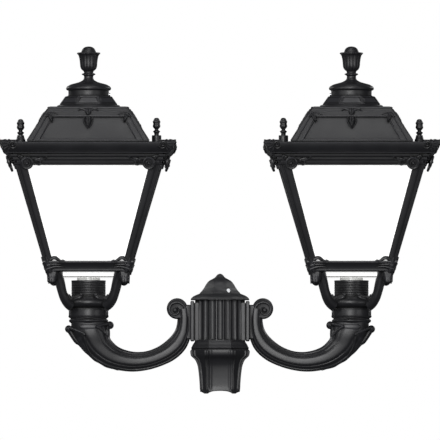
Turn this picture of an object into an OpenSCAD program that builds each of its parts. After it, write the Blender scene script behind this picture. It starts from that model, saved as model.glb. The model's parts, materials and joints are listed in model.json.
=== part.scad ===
// Twin-lantern post head: an octagonal capital drops over the post, a fluted hub stands on it, and two
// scrolled arms each carry a square, tapering lantern with an opal diffuser and a lift-off roof.
// Millimetres, +Z up, origin at the centre of the socket mouth. The right side is drawn and the left mirrored.

/* [Post socket and capital] */
// Outside diameter of the post tube that the capital drops over
post_tube_d = 60; // [48:1:72]
// Radial clearance round the post tube
post_clearance = 0.2; // [0.1:0.05:0.4]
// Wall of the neck at the socket mouth, across the flats
neck_wall = 4.8; // [4:0.2:8]
// Height of the plain neck
neck_h = 45; // [36:1:60]
// Height of the flared head of the capital
capital_head_h = 47; // [40:1:60]
// How far the head stands out beyond the neck on each side
capital_flare = 15.4; // [10:0.2:18]
// Thickness of the floor above the socket
capital_floor = 12; // [9:1:20]

/* [Hub] */
// Diameter of the fluted drum
hub_d = 87.5; // [80:0.5:108]
// Height of the fluted drum
hub_h = 73; // [60:1:90]
// Number of flutes round the drum
flute_count = 22; // [16:1:28]
// Radius of each flute
flute_r = 3.6; // [2.5:0.1:4.5]
// Wall of the drum at its lands
hub_wall = 8; // [6:0.5:10]
// Thickness of the drum floor
hub_floor = 5; // [4:0.5:8]
// Overhang of the cap beyond the drum
cap_overhang = 7.6; // [5:0.2:10]
// Height of the cap above its seat
cap_h = 43; // [36:1:52]

/* [Arms] */
// Distance from the post axis to each lantern axis
arm_reach = 230; // [185:1:290]
// Height of the lantern seat above the drum floor
arm_rise = 41; // [30:1:55]
// Depth of the arm's centreline below the drum floor
arm_dip = 37; // [25:1:45]
// Wall of the hollow arm
arm_wall = 4.5; // [3.5:0.5:6]
// Diameter of the spigot that the lantern turns on
spigot_d = 60; // [50:1:64]
// Height of the spigot
spigot_h = 17; // [12:1:17]
// Radius of the ball scroll at the top of the arm
scroll_r = 17.5; // [14:0.5:20]

/* [Lantern cage] */
// Radial running clearance between spigot and collar
swivel_clearance = 0.06; // [0.03:0.01:0.1]
// Height from the lantern seat to the foot of the cage
cradle_h = 78.5; // [75:0.5:95]
// Width of the cage at its foot
cage_foot_w = 145; // [138:1:165]
// Width of the cage at its top
cage_top_w = 264.5; // [240:0.5:290]
// Height of the cage
cage_h = 203; // [175:1:250]
// Thickness of the cage walls
cage_wall = 7; // [5:0.5:9]
// Height of the bottom rail
foot_rail_h = 18; // [14:1:24]
// Height of the top rail
top_rail_h = 18.5; // [16:0.5:26]
// Width of a corner post's face at its foot
post_face_foot = 16.5; // [12:0.5:20]
// Width of a corner post's face at its top
post_face_top = 21.5; // [16:0.5:26]

/* [Light] */
// Diameter of the ribbed lamp cup
cup_d = 60; // [50:1:62]
// Height of the ribbed lamp cup
cup_h = 44.7; // [36:0.1:46]
// Wall of the opal diffuser
diffuser_wall = 2.5; // [2:0.25:4]
// Diameter of the lamp's bulb
bulb_d = 60; // [45:1:72]

/* [Roof] */
// Width across the eave
eave_w = 305.6; // [290:0.2:366]
// Height of the eave band
eave_h = 17; // [14:0.5:22]
// Width of the pyramid at its base
pyramid_base_w = 217; // [205:1:219]
// Width of the pyramid at its top
pyramid_top_w = 140; // [130:1:170]
// Height of the pyramid
pyramid_h = 61.5; // [48:0.5:75]
// Thickness of the roof castings
roof_skin = 3; // [2.5:0.25:4]
// Distance of each thumb knob from the lantern axis
knob_x = 119; // [117.5:0.5:120]
// Height of the bosses under the thumb knobs
knob_boss_h = 14; // [8:0.5:18]
// Diameter of the thumb knob studs
knob_stud_d = 6; // [5:0.5:8]
// Height of the finial above the chimney cap
finial_h = 61; // [50:1:80]

/* [Hidden] */

$fn = 64;
BLACK = "#2e2f33";
STEEL = "#c9ccd0";
RUBBER = "#191919";
OPAL = "#f4f4f0";
PORCELAIN = "#ececE6";
EPS = 0.01;
FIT = 0.05; // radial gap of a screw in its own thread
LOOSE = 0.3; // gap between parts that are dropped into each other

// Capital
neck_r = post_tube_d / 2 + post_clearance + neck_wall;
capital_h = neck_h + capital_head_h;
socket_depth = capital_h - capital_floor;
cable_r = 10;
set_screw_r = 4;
set_screw_z = 30;

// Hub
hub_z = capital_h;
hub_r = hub_d / 2;
hub_bore_r = hub_r - hub_wall;
pad_x = hub_r + 0.2; // face of the pads that the arms bolt to
pad_half = 24;
pad_h = hub_h - 6;
base_screw_r = 2.5;
base_screw_pcd = hub_bore_r * 2 - 14;
base_head_h = 3;
cap_z = hub_z + hub_h;
gasket_t = 1.5;
cap_seat_z = cap_z + gasket_t;
cap_screw_az = -62;
cap_screw_z = cap_seat_z + cap_h * 0.3;
cap_rim_r = hub_r + cap_overhang;
cap_screw_seat = cap_rim_r - 22.5; // radius where the screws' heads sit
cap_screw_r = 2;
bracket_reach = cap_rim_r - 30.5; // radius where the screws bite into the bracket
bracket_t = 3;
bracket_w = 10;
bracket_z = cap_z - 8;
ledge_w = 3; // ledge in the drum that the bracket stands on

// Arm: the flange and the centreline
arm_gasket_t = 1;
flange_x = pad_x + arm_gasket_t;
flange_t = 5.3;
lead_r = 3.5;
wire_z = hub_z + 19; // height of the wire way through pad and flange
wire_way_r = 6;
bolt_r = 4;
bolt_head_r = 6.5;
bolt_head_h = 5;
bolt_low_z = hub_z + pad_h - 27;
bolt_high_z = hub_z + pad_h - 13;
seat_z = hub_z + arm_rise;
seat_r = spigot_d / 2 + 4;
seat_t = 5;
spigot_bore_r = spigot_d / 2 - 6;

// Lantern heights above the seat
collar_h = 18;
collar_r = spigot_d / 2 + 5.4;
neck_screw_r = 2.5;
neck_screw_z = 10;
neck_screw_angles = [-25, 205];
cradle_floor = 2;
ring_h = 36;
cup_r = cup_d / 2;
cup_z = collar_h + cradle_floor;
foot_z = cradle_h;
cage_top_z = cradle_h + cage_h;
foot_half = cage_foot_w / 2;
top_half = cage_top_w / 2;
cage_lean = atan((top_half - foot_half) / cage_h);
ledge_t = 6;
ledge_z = foot_z + foot_rail_h - 1;
well_half = 44.6;
ledge_half = well_half + 1.4;
well_drop = 8; // how far the diffuser's well hangs below the cage
diffuser_gap = 1;
holder_r = 20;
cage_screw_xy = foot_half - 12.5;
cage_screw_r = 2.5;
roof_gasket_t = 2;
roof_z = cage_top_z + roof_gasket_t;
roof_lip_half = top_half - 19.5;
lug_h = 13;
eave_half = eave_w / 2;
eave_top_z = roof_z + eave_h;
apron_z = eave_top_z + 4.6; // where the eave's top meets the pyramid
pyramid_top_z = apron_z + pyramid_h;
vent_r = 58;
vent_h = 20.5;
vent_bore_r = 30;
upstand_r = 33.2;
upstand_h = 9;
chimney_z = pyramid_top_z + vent_h;
chimney_r = 36;
chimney_wall = 2.5;
chimney_h = 26.4;
finial_z = chimney_z + chimney_h;
boss_top_z = apron_z + knob_boss_h;
stud_z = cage_top_z - lug_h + 2;

// ---- helpers ------------------------------------------------------------------------------------

function cage_half(z) = foot_half + (z - foot_z) * (top_half - foot_half) / cage_h;

// A prism or vessel with flat sides: the profile's first number is the distance to each flat
module faceted_turning(sides, profile) {
    rotate(180 / sides)
        rotate_extrude($fn = sides)
            polygon([for (p = profile) [p[0] / cos(180 / sides), p[1]]]);
}

module square_taper(half_low, half_high, h) {
    rotate(45)
        cylinder(r1 = half_low * sqrt(2), r2 = half_high * sqrt(2), h = h, $fn = 4);
}

module four_ways() {
    for (a = [0 : 90 : 270])
        rotate(a)
            children();
}

// Something drawn along +Z is laid along +X
module along_x() {
    rotate([0, 90, 0])
        children();
}

module left() {
    mirror([1, 0, 0])
        children();
}

module on_seat() {
    translate([arm_reach, 0, seat_z])
        children();
}

function blend(a, b, c, d, t) = 0.5 * (2 * b + (c - a) * t + (2 * a - 5 * b + 4 * c - d) * t * t
    + (3 * b - a - 3 * c + d) * t * t * t);

// A smooth run of n steps between each two points
function smooth_run(pts, n) = let (last = len(pts) - 1) [
    for (i = [0 : last - 1])
        for (k = [0 : n - 1])
            blend(pts[max(i - 1, 0)], pts[i], pts[i + 1], pts[min(i + 2, last)], k / n),
    pts[last]
];

// Direction of a run of [x, z, ...] points at point i
function heading(run, i) = let (
    a = run[max(i - 1, 0)],
    b = run[min(i + 1, len(run) - 1)],
    d = [b[0] - a[0], b[1] - a[1]]
) d / norm(d);

// One oval ring round point i of a run of [x, z, half width, half depth]
function oval_ring(run, i, shrink, sides) = let (p = run[i], t = heading(run, i)) [
    for (j = [0 : sides - 1]) let (a = 360 * j / sides, w = (p[2] - shrink) * cos(a))
        [p[0] + t[1] * w, (p[3] - shrink) * sin(a), p[1] - t[0] * w]
];

// A hollow oval tube along a run, one closed surface
module oval_tube(run, wall, sides) {
    rings = len(run);
    points = [for (shrink = [0, wall]) for (i = [0 : rings - 1]) each oval_ring(run, i, shrink, sides)];
    function at(skin, i, j) = (skin * rings + i) * sides + j % sides;
    polyhedron(points, [
        for (i = [0 : rings - 2]) for (j = [0 : sides - 1]) each [
            [at(0, i, j), at(0, i + 1, j), at(0, i + 1, j + 1), at(0, i, j + 1)],
            [at(1, i, j), at(1, i, j + 1), at(1, i + 1, j + 1), at(1, i + 1, j)]],
        for (j = [0 : sides - 1]) each [
            [at(0, 0, j), at(0, 0, j + 1), at(1, 0, j + 1), at(1, 0, j)],
            [at(0, rings - 1, j), at(1, rings - 1, j), at(1, rings - 1, j + 1), at(0, rings - 1, j + 1)]]
    ]);
}

// A solid oval bar along a run
module oval_bar(run, sides) {
    rings = len(run);
    points = [for (i = [0 : rings - 1]) each oval_ring(run, i, 0, sides)];
    function at(i, j) = i * sides + j % sides;
    polyhedron(points, [
        for (i = [0 : rings - 2]) for (j = [0 : sides - 1])
            [at(i, j), at(i + 1, j), at(i + 1, j + 1), at(i, j + 1)],
        [for (j = [0 : sides - 1]) at(0, j)],
        [for (j = [sides - 1 : -1 : 0]) at(rings - 1, j)]
    ]);
}

// ---- capital and hub ----------------------------------------------------------------------------

module post_capital() {
    head_r = neck_r + capital_flare;
    color(BLACK)
    difference() {
        faceted_turning(8, [
            [0, 0], [neck_r, 0], [neck_r + 0.8, neck_h * 0.55], [neck_r + 2.6, neck_h],
            [neck_r + 8.4, neck_h + 13], [head_r, neck_h + 22], [head_r, neck_h + 35],
            [hub_r + 1, capital_h], [0, capital_h]
        ]);
        translate([0, 0, -EPS])
            cylinder(r = post_tube_d / 2 + post_clearance, h = socket_depth + EPS);
        cylinder(r = cable_r, h = capital_h + 1);
        for (a = [0, 120, 240])
            rotate(a)
                translate([base_screw_pcd / 2, 0, capital_h - 9])
                    cylinder(r = base_screw_r + FIT, h = 10);
        for (a = [45, 135])
            rotate(a)
                translate([0, 0, set_screw_z])
                    along_x()
                        cylinder(r = set_screw_r + FIT, h = neck_r + 5);
    }
}

// Grub screws that grip the post tube, on the two rear corners
module post_set_screws() {
    start = post_tube_d / 2 + post_clearance + 0.15;
    color(STEEL)
    for (a = [45, 135])
        rotate(a)
            translate([start, 0, set_screw_z])
                along_x()
                    difference() {
                        cylinder(r = set_screw_r, h = 8);
                        translate([0, 0, 5])
                            cylinder(r = 2.3, h = 4, $fn = 6);
                    }
}

module hub_drum() {
    color(BLACK)
    difference() {
        union() {
            difference() {
                translate([0, 0, hub_z])
                    cylinder(r = hub_r, h = hub_h);
                for (i = [0 : flute_count - 1])
                    rotate((i + 0.5) * 360 / flute_count)
                        translate([hub_r + flute_r * 0.35, 0, hub_z - 1])
                            cylinder(r = flute_r, h = hub_h + 2);
            }
            for (side = [-1, 1])
                translate([side * (pad_x - 10) - 10, -pad_half, hub_z])
                    cube([20, 2 * pad_half, pad_h]);
        }
        translate([0, 0, hub_z + hub_floor])
            cylinder(r = hub_bore_r, h = bracket_z - ledge_w - hub_z - hub_floor);
        translate([0, 0, hub_z + hub_floor])
            cylinder(r = hub_bore_r - ledge_w, h = hub_h);
        translate([0, 0, bracket_z])
            cylinder(r = hub_bore_r, h = hub_h);
        translate([0, 0, hub_z - 1])
            cylinder(r = cable_r, h = hub_h);
        for (a = [0, 120, 240])
            rotate(a)
                translate([base_screw_pcd / 2, 0, hub_z - 1])
                    cylinder(r = base_screw_r + LOOSE, h = hub_floor + 2);
        for (z = [bolt_low_z, bolt_high_z])
            translate([-hub_d, 0, z])
                along_x()
                    cylinder(r = bolt_r + LOOSE, h = 2 * hub_d);
        translate([-hub_d, 0, wire_z])
            along_x()
                cylinder(r = wire_way_r, h = 2 * hub_d);
    }
}

module hub_base_screws() {
    color(STEEL)
    for (a = [0, 120, 240])
        rotate(a)
            translate([base_screw_pcd / 2, 0, hub_z]) {
                translate([0, 0, -8])
                    cylinder(r = base_screw_r, h = 8 + hub_floor);
                translate([0, 0, hub_floor])
                    cylinder(r = base_screw_r * 1.8, h = base_head_h);
            }
}

module cap_gasket() {
    color(RUBBER)
    translate([0, 0, cap_z])
        difference() {
            cylinder(r = hub_r - 4.5, h = gasket_t);
            translate([0, 0, -1])
                cylinder(r = hub_bore_r + 0.5, h = gasket_t + 2);
        }
}

module hub_cap() {
    rim = cap_rim_r;
    k = cap_h / 43;
    color(BLACK)
    difference() {
        union() {
            translate([0, 0, cap_seat_z])
                faceted_turning(8, [
                    [hub_r + 1.5, -3], [rim, -3], [rim - 3.9, 2.3], [rim - 16.2, 8.1 * k], [rim - 21.3, 13 * k],
                    [rim - 27.6, 23 * k], [rim - 33.4, 30 * k], [8.4, 35.8 * k], [0, 43 * k],
                    [0, 43 * k - 5], [6, 30.5 * k], [rim - 36, 27 * k], [rim - 30.8, 20 * k],
                    [rim - 24.8, 11 * k], [rim - 19.5, 5 * k], [hub_bore_r, 4], [hub_bore_r, 0], [hub_r + 1.5, 0]
                ]);
            for (a = [0, 180])
                rotate(cap_screw_az + a)
                    translate([bracket_reach + LOOSE, 0, cap_screw_z])
                        along_x()
                            cylinder(r = cap_screw_r + 3, h = cap_screw_seat + 1 - bracket_reach);
        }
        for (a = [0, 180])
            rotate(cap_screw_az + a)
                translate([0, 0, cap_screw_z])
                    along_x() {
                        cylinder(r = cap_screw_r + LOOSE, h = hub_r);
                        translate([0, 0, cap_screw_seat])
                            cylinder(r = cap_screw_r * 2.1, h = hub_r);
                    }
    }
}

// A bent strap across the drum that the cap's screws bite into
module cap_bracket() {
    reach = hub_bore_r - LOOSE;
    color(STEEL)
    rotate(cap_screw_az)
        difference() {
            union() {
                intersection() {
                    translate([-hub_r, -bracket_w / 2, bracket_z])
                        cube([hub_d, bracket_w, bracket_t]);
                    cylinder(r = reach, h = cap_z);
                }
                for (side = [-1, 1])
                    translate([side * (bracket_reach - bracket_t / 2) - bracket_t / 2, -bracket_w / 2, bracket_z])
                        cube([bracket_t, bracket_w, cap_screw_z - bracket_z + 4]);
            }
            translate([-hub_r, 0, cap_screw_z])
                along_x()
                    cylinder(r = cap_screw_r + FIT, h = hub_d);
        }
}

module cap_screws() {
    shank = cap_screw_seat - bracket_reach + 4;
    color(STEEL)
    for (a = [0, 180])
        rotate(cap_screw_az + a)
            translate([bracket_reach - 4, 0, cap_screw_z])
                along_x() {
                    cylinder(r = cap_screw_r, h = shank);
                    translate([0, 0, shank])
                        cylinder(r = cap_screw_r * 1.85, h = 2.4);
                }
}

// The tray bridges the cable way on two feet, so that the mains cable can come up beside it
module terminal_tray() {
    color(STEEL)
    translate([0, 0, hub_z + hub_floor])
        difference() {
            union() {
                translate([-20, -12, 5])
                    cube([40, 24, 1.5]);
                for (side = [-1, 1])
                    translate([side * 16 - 3, -12, 0])
                        cube([6, 24, 5]);
            }
            for (side = [-1, 1])
                translate([side * 15, 0, -1])
                    cylinder(r = 1.5 + FIT, h = 9);
        }
}

module terminal_block() {
    base = hub_z + hub_floor + 6.5;
    color(OPAL)
    difference() {
        translate([-18, -9, base])
            cube([36, 18, 14]);
        for (side = [-1, 1])
            translate([side * 15, 0, base - 1])
                cylinder(r = 1.5 + LOOSE, h = 16);
        for (x = [-8, 0, 8])
            translate([x, -10, base + 7])
                rotate([-90, 0, 0])
                    cylinder(r = 2.2, h = 20);
    }
}

module terminal_screws() {
    base = hub_z + hub_floor;
    color(STEEL)
    for (side = [-1, 1])
        translate([side * 15, 0, base + 1]) {
            cylinder(r = 1.5, h = 19.5);
            translate([0, 0, 19.5])
                cylinder(r = 2.8, h = 1.8);
        }
}

// ---- arms ---------------------------------------------------------------------------------------

// Centreline of the arm: share of the span from flange to lantern axis, height, half width, half depth.
// Heights below the drum floor are shares of the dip, the last ones lead up to the lantern seat.
span = arm_reach - flange_x;
function arm_x(u) = flange_x + u * span;
function arm_low(v) = hub_z - v * arm_dip;
ARM_LINE = [
    [flange_x + 1, wire_z, 17, 17],
    [arm_x(0.06), wire_z - 2, 17, 17],
    [arm_x(0.14), arm_low(0.08), 16.5, 16.5],
    [arm_x(0.235), arm_low(0.44), 16, 17],
    [arm_x(0.335), arm_low(0.75), 16, 17.5],
    [arm_x(0.455), arm_low(0.95), 16.3, 18.5],
    [arm_x(0.585), arm_low(1), 17, 19.5],
    [arm_x(0.72), arm_low(0.9), 19.3, 21],
    [arm_x(0.815), arm_low(0.68), 22.5, 23],
    [arm_x(0.89), arm_low(0.4), 26.3, 25.5],
    [arm_x(0.95), arm_low(0.02), 29.5, 28],
    [arm_x(0.985), seat_z - 26, 32, 31],
    [arm_reach, seat_z - 14, seat_r - 0.5, seat_r - 0.5],
    [arm_reach, seat_z - seat_t + EPS, seat_r - 0.5, seat_r - 0.5]
];

module arm() {
    scroll_x = pad_x + 30.5;
    scroll_z = hub_z + pad_h - 10.5;
    color(BLACK)
    difference() {
        union() {
            oval_tube(smooth_run(ARM_LINE, 2), arm_wall, 16);
            translate([arm_reach, 0, seat_z - seat_t])
                cylinder(r = seat_r, h = seat_t);
            translate([arm_reach, 0, seat_z])
                cylinder(r = spigot_d / 2, h = spigot_h);
            translate([flange_x, -pad_half, hub_z])
                cube([flange_t, 2 * pad_half, pad_h]);
            translate([flange_x + 1, -14, wire_z + 10])
                cube([scroll_x - flange_x - 2, 28, scroll_z - wire_z + 4]);
            translate([scroll_x, 0, scroll_z])
                rotate([90, 0, 0])
                    cylinder(r = scroll_r, h = 32, center = true);
        }
        translate([arm_reach, 0, seat_z - seat_t - 1])
            cylinder(r = spigot_bore_r, h = spigot_h + seat_t + 2);
        translate([flange_x - 1, 0, wire_z])
            along_x()
                cylinder(r = wire_way_r, h = 12);
        for (z = [bolt_low_z, bolt_high_z])
            translate([flange_x - 1, 0, z])
                along_x()
                    cylinder(r = bolt_r + FIT, h = 15);
    }
}

module arm_gasket() {
    color(RUBBER)
    difference() {
        translate([pad_x, -pad_half + 1, hub_z + 1])
            cube([arm_gasket_t, 2 * pad_half - 2, pad_h - 2]);
        for (z = [bolt_low_z, bolt_high_z])
            translate([pad_x - 1, 0, z])
                along_x()
                    cylinder(r = bolt_r + LOOSE, h = 3);
        translate([pad_x - 1, 0, wire_z])
            along_x()
                cylinder(r = wire_way_r, h = 3);
    }
}

module arm_bolts() {
    color(STEEL)
    for (z = [bolt_low_z, bolt_high_z])
        translate([hub_bore_r - 1, 0, z])
            along_x() {
                cylinder(r = bolt_r, h = flange_x + 13 - hub_bore_r);
                translate([0, 0, -bolt_head_h])
                    cylinder(r = bolt_head_r, h = bolt_head_h, $fn = 6);
            }
}

// The lead from the terminal block runs inside the arm and up the swivel axis into the lampholder
module supply_lead() {
    inner_run = [for (i = [1 : len(ARM_LINE) - 3]) [ARM_LINE[i][0], ARM_LINE[i][1], lead_r, lead_r]];
    run = concat(
        [for (x = [18, 28, hub_bore_r]) [x, wire_z, lead_r, lead_r]],
        inner_run,
        [[arm_reach, seat_z - 12, lead_r, lead_r], [arm_reach, seat_z + cup_z + 9, lead_r, lead_r]]
    );
    color(RUBBER)
    oval_bar(smooth_run(run, 2), 8);
}

// ---- lantern ------------------------------------------------------------------------------------

module cradle() {
    foot_d = foot_half * sqrt(2);
    color(BLACK)
    on_seat()
    difference() {
        union() {
            cylinder(r = collar_r, h = collar_h);
            translate([0, 0, collar_h])
                rotate_extrude()
                    polygon([[0, 0], [collar_r + 2, 0], [collar_r + 6, 5], [collar_r + 3, 12],
                        [collar_r - 2, ring_h - collar_h], [0, ring_h - collar_h]]);
            for (a = [45 : 90 : 315])
                rotate(a)
                    rotate([90, 0, 0])
                        linear_extrude(15, center = true)
                            polygon([[cup_r + 3, collar_h], [49, collar_h + 0.5], [58, collar_h + 5], [65, collar_h + 12],
                                [foot_d - 30, foot_z - 39], [foot_d - 23, foot_z - 26], [foot_d - 13, foot_z - 21],
                                [foot_d - 6, foot_z - 14], [foot_d - 4, foot_z], [foot_d - 36, foot_z],
                                [foot_d - 40, foot_z - 14], [56, foot_z - 29], [45, ring_h + 3], [cup_r + 3, ring_h - 3]]);
            four_ways()
                translate([foot_half - 21, foot_half - 21, foot_z - 18])
                    cube([19, 19, 18]);
        }
        translate([0, 0, -1])
            cylinder(r = spigot_d / 2 + swivel_clearance, h = collar_h + 1);
        cylinder(r = 12, h = ring_h);
        translate([0, 0, cup_z])
            cylinder(r = cup_r + LOOSE, h = cradle_h);
        for (a = neck_screw_angles)
            rotate(a)
                translate([0, 0, neck_screw_z])
                    along_x()
                        cylinder(r = neck_screw_r + FIT, h = collar_r + 1);
        four_ways()
            translate([cage_screw_xy, cage_screw_xy, 0]) {
                cylinder(r = cage_screw_r + LOOSE, h = foot_z + 1);
                cylinder(r = 5.2, h = foot_z - 15);
            }
    }
}

module neck_screws() {
    start = spigot_d / 2 + 0.3;
    color(STEEL)
    on_seat()
    for (a = neck_screw_angles)
        rotate(a)
            translate([start, 0, neck_screw_z])
                along_x()
                    difference() {
                        cylinder(r = neck_screw_r, h = 6.6);
                        translate([0, 0, 4.5])
                            cylinder(r = 1.45, h = 3, $fn = 6);
                    }
}

module lamp_cup() {
    ribs = 14;
    pitch = (cup_h - 4) / ribs;
    color(BLACK)
    on_seat()
    translate([0, 0, cup_z])
        difference() {
            rotate_extrude()
                polygon([[0, 0], [cup_r, 0], [cup_r, 2],
                    for (i = [0 : ribs - 1]) each [
                        [cup_r - 0.7, 2 + (i + 0.2) * pitch], [cup_r, 2 + (i + 0.5) * pitch],
                        [cup_r, 2 + (i + 0.9) * pitch]],
                    [cup_r, cup_h], [0, cup_h]]);
            translate([0, 0, 3])
                cylinder(r = cup_r - 3, h = cup_h);
            translate([0, 0, -1])
                cylinder(r = 6, h = 5);
        }
}

module lampholder() {
    low = cup_z + 3;
    high = ledge_z + 5;
    color(PORCELAIN)
    on_seat()
    difference() {
        union() {
            translate([0, 0, low])
                cylinder(r = holder_r, h = high - low);
            translate([0, 0, low])
                cylinder(r = cup_r - 3 - LOOSE, h = 6);
        }
        translate([0, 0, high - 20])
            cylinder(r = 13.4, h = 21);
        translate([0, 0, low - 1])
            cylinder(r = lead_r + 0.6, h = 11);
    }
}

module lamp() {
    base_z = ledge_z - 14;
    bulb_r = bulb_d / 2;
    bulb_z = ledge_z + 62;
    color(OPAL)
    on_seat() {
        translate([0, 0, base_z])
            cylinder(r = 13, h = 24);
        translate([0, 0, base_z + 24])
            cylinder(r1 = 13, r2 = bulb_r * 0.94, h = bulb_z - base_z - 24 - bulb_r * 0.34);
        translate([0, 0, bulb_z])
            sphere(r = bulb_r);
    }
}

module diffuser() {
    rim_z = cage_top_z - lug_h - 2;
    low = cage_half(ledge_z) - cage_wall - diffuser_gap;
    high = cage_half(rim_z) - cage_wall - diffuser_gap;
    wall = diffuser_wall;
    well_z = foot_z - well_drop;
    well = 2 * well_half;
    color(OPAL)
    on_seat()
    difference() {
        union() {
            translate([0, 0, ledge_z])
                square_taper(low, high, rim_z - ledge_z);
            translate([-well_half, -well_half, well_z])
                cube([well, well, ledge_z - well_z + 1]);
        }
        translate([0, 0, ledge_z + wall])
            square_taper(low - wall + wall * tan(cage_lean), high - wall + EPS, rim_z - ledge_z - wall + EPS);
        translate([wall - well_half, wall - well_half, well_z + wall])
            cube([well - 2 * wall, well - 2 * wall, ledge_z]);
        translate([0, 0, well_z - 1])
            cylinder(r = holder_r + 1, h = wall + 2);
    }
}

module cage() {
    window_z = foot_z + foot_rail_h;
    window_top = cage_top_z - top_rail_h;
    half_low = cage_half(window_z) - post_face_foot;
    half_high = cage_half(window_top) - post_face_top;
    volute_r = 12;
    volute_z = window_top + 2;
    color(BLACK)
    on_seat()
    difference() {
        union() {
            difference() {
                translate([0, 0, foot_z])
                    square_taper(foot_half, top_half, cage_h);
                translate([0, 0, foot_z - EPS])
                    square_taper(foot_half - cage_wall, top_half - cage_wall, cage_h + 2 * EPS);
                for (a = [0, 90])
                    rotate([90, 0, a])
                        linear_extrude(cage_top_w + 20, center = true)
                            polygon([[-half_low, window_z], [half_low, window_z],
                                [half_high, window_top], [-half_high, window_top]]);
            }
            difference() {
                translate([0, 0, ledge_z - ledge_t])
                    square_taper(cage_half(ledge_z - ledge_t) - 1, cage_half(ledge_z) - 1, ledge_t);
                translate([-ledge_half, -ledge_half, ledge_z - ledge_t - 1])
                    cube([2 * ledge_half, 2 * ledge_half, ledge_t + 2]);
            }
            four_ways()
                translate([cage_screw_xy - 8, cage_screw_xy - 8, foot_z])
                    cube([16, 16, foot_rail_h - 2]);
            for (side = [-1, 1])
                translate([side * (top_half - 13.5) - 8, -11, cage_top_z - lug_h])
                    cube([16, 22, lug_h]);
            four_ways()
                for (side = [-1, 1])
                    translate([side * (cage_half(volute_z) - 21), -cage_half(volute_z), volute_z])
                        rotate([90 + cage_lean, 0, 0])
                            translate([0, 0, -2])
                                cylinder(r = volute_r, h = 10);
        }
        for (side = [-1, 1])
            translate([side * knob_x, 0, cage_top_z - lug_h - 1])
                cylinder(r = knob_stud_d / 2 + FIT, h = lug_h + 2);
        four_ways()
            translate([cage_screw_xy, cage_screw_xy, foot_z - 1])
                cylinder(r = cage_screw_r + FIT, h = 15);
    }
}

module cage_screws() {
    color(STEEL)
    on_seat()
    four_ways()
        translate([cage_screw_xy, cage_screw_xy, foot_z - 15]) {
            cylinder(r = cage_screw_r, h = 27);
            translate([0, 0, -3.5])
                cylinder(r = cage_screw_r * 1.8, h = 3.5);
        }
}

module roof_gasket() {
    outer = top_half - 2;
    color(RUBBER)
    on_seat()
    translate([0, 0, cage_top_z])
        difference() {
            translate([-outer, -outer, 0])
                cube([2 * outer, 2 * outer, roof_gasket_t]);
            difference() {
                translate([6 - outer, 6 - outer, -1])
                    cube([2 * outer - 12, 2 * outer - 12, roof_gasket_t + 2]);
                for (side = [-1, 1])
                    translate([side * (top_half - 13.5) - 8, -10, -2])
                        cube([16, 20, roof_gasket_t + 4]);
            }
            for (side = [-1, 1])
                translate([side * knob_x, 0, -1])
                    cylinder(r = knob_stud_d / 2 + 1, h = roof_gasket_t + 2);
        }
}

// The eave and the pyramid are one square shell
module roof_cover() {
    base = pyramid_base_w / 2;
    top = pyramid_top_w / 2;
    seat = top_half + 7;
    ear = 28;
    color(BLACK)
    on_seat()
    difference() {
        union() {
            faceted_turning(4, [
                [roof_lip_half, roof_z], [seat, roof_z], [eave_half - 4, roof_z + eave_h * 0.55],
                [eave_half, eave_top_z], [eave_half - 2, eave_top_z + 0.6], [base + 10, apron_z], [base, apron_z],
                [top, pyramid_top_z], [vent_bore_r, pyramid_top_z], [vent_bore_r, pyramid_top_z - roof_skin],
                [top - 1.5, pyramid_top_z - roof_skin], [base - 2, apron_z - roof_skin],
                [base + 10, apron_z - roof_skin], [eave_half - 5.5, eave_top_z - roof_skin + 0.5],
                [seat - 3, roof_z + roof_skin], [roof_lip_half, roof_z + roof_skin]
            ]);
            intersection() {
                faceted_turning(4, [[eave_half - 12, eave_top_z - 1], [eave_half - 1, eave_top_z - 1],
                    [eave_half, eave_top_z + 6], [eave_half - 6, eave_top_z + 6], [eave_half - 12, eave_top_z]]);
                four_ways()
                    translate([eave_half - ear, eave_half - ear, eave_top_z - 5])
                        cube([ear + 5, ear + 5, 20]);
            }
            translate([-knob_x, 0, roof_z])
                cylinder(r = 8.3, h = boss_top_z - roof_z);
            translate([knob_x, 0, apron_z - roof_skin])
                cylinder(r1 = 10.2, r2 = 5.6, h = boss_top_z - apron_z + roof_skin);
            translate([knob_x, 0, roof_z])
                cylinder(r = 8.3, h = apron_z - roof_z - 1);
        }
        for (side = [-1, 1])
            translate([side * knob_x, 0, roof_z - 1])
                cylinder(r = knob_stud_d / 2 + FIT, h = boss_top_z);
    }
}

module vent_ring() {
    slope = atan2(9.5, 6.3);
    color(BLACK)
    on_seat()
    translate([0, 0, pyramid_top_z])
        difference() {
            rotate_extrude()
                polygon([[vent_bore_r, 0], [vent_r, 0], [vent_r, 2], [vent_r - 7, 5], [vent_r - 7.8, 7],
                    [vent_r - 14, 16.5], [vent_r - 17, vent_h - 0.8], [vent_r - 19, vent_h], [upstand_r, vent_h],
                    [upstand_r, vent_h + upstand_h], [vent_bore_r, vent_h + upstand_h]]);
            for (a = [0 : 45 : 315])
                rotate(a)
                    translate([vent_r - 10.9, 0, 11.7])
                        rotate([0, 90 - slope, 0])
                            translate([-1.2, -12, -4.6])
                                cube([6, 24, 9.2]);
            translate([-upstand_r - 2, 0, vent_h + 3])
                along_x()
                    cylinder(r = 1.5 + FIT, h = 8);
        }
}

module chimney_cap() {
    r = chimney_r;
    w = chimney_wall;
    color(BLACK)
    on_seat()
    translate([0, 0, chimney_z])
        difference() {
            rotate_extrude()
                polygon([[r - w, 0], [r, 0], [r, 10], [r + 2.6, 10.8], [r + 3.4, 13], [r + 2.4, 16], [r - 2, 19.5],
                    [r - 9, 22.2], [r - 19, 24.4], [r - 25, chimney_h - 0.8], [9, chimney_h], [4 + LOOSE, chimney_h],
                    [4 + LOOSE, chimney_h - 4], [10, chimney_h - 4], [r - 20, 20.9], [r - 6, 17], [r - w, 13]]);
            translate([-r - 1, 0, 3])
                along_x()
                    cylinder(r = 1.5 + LOOSE, h = 6);
        }
}

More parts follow.
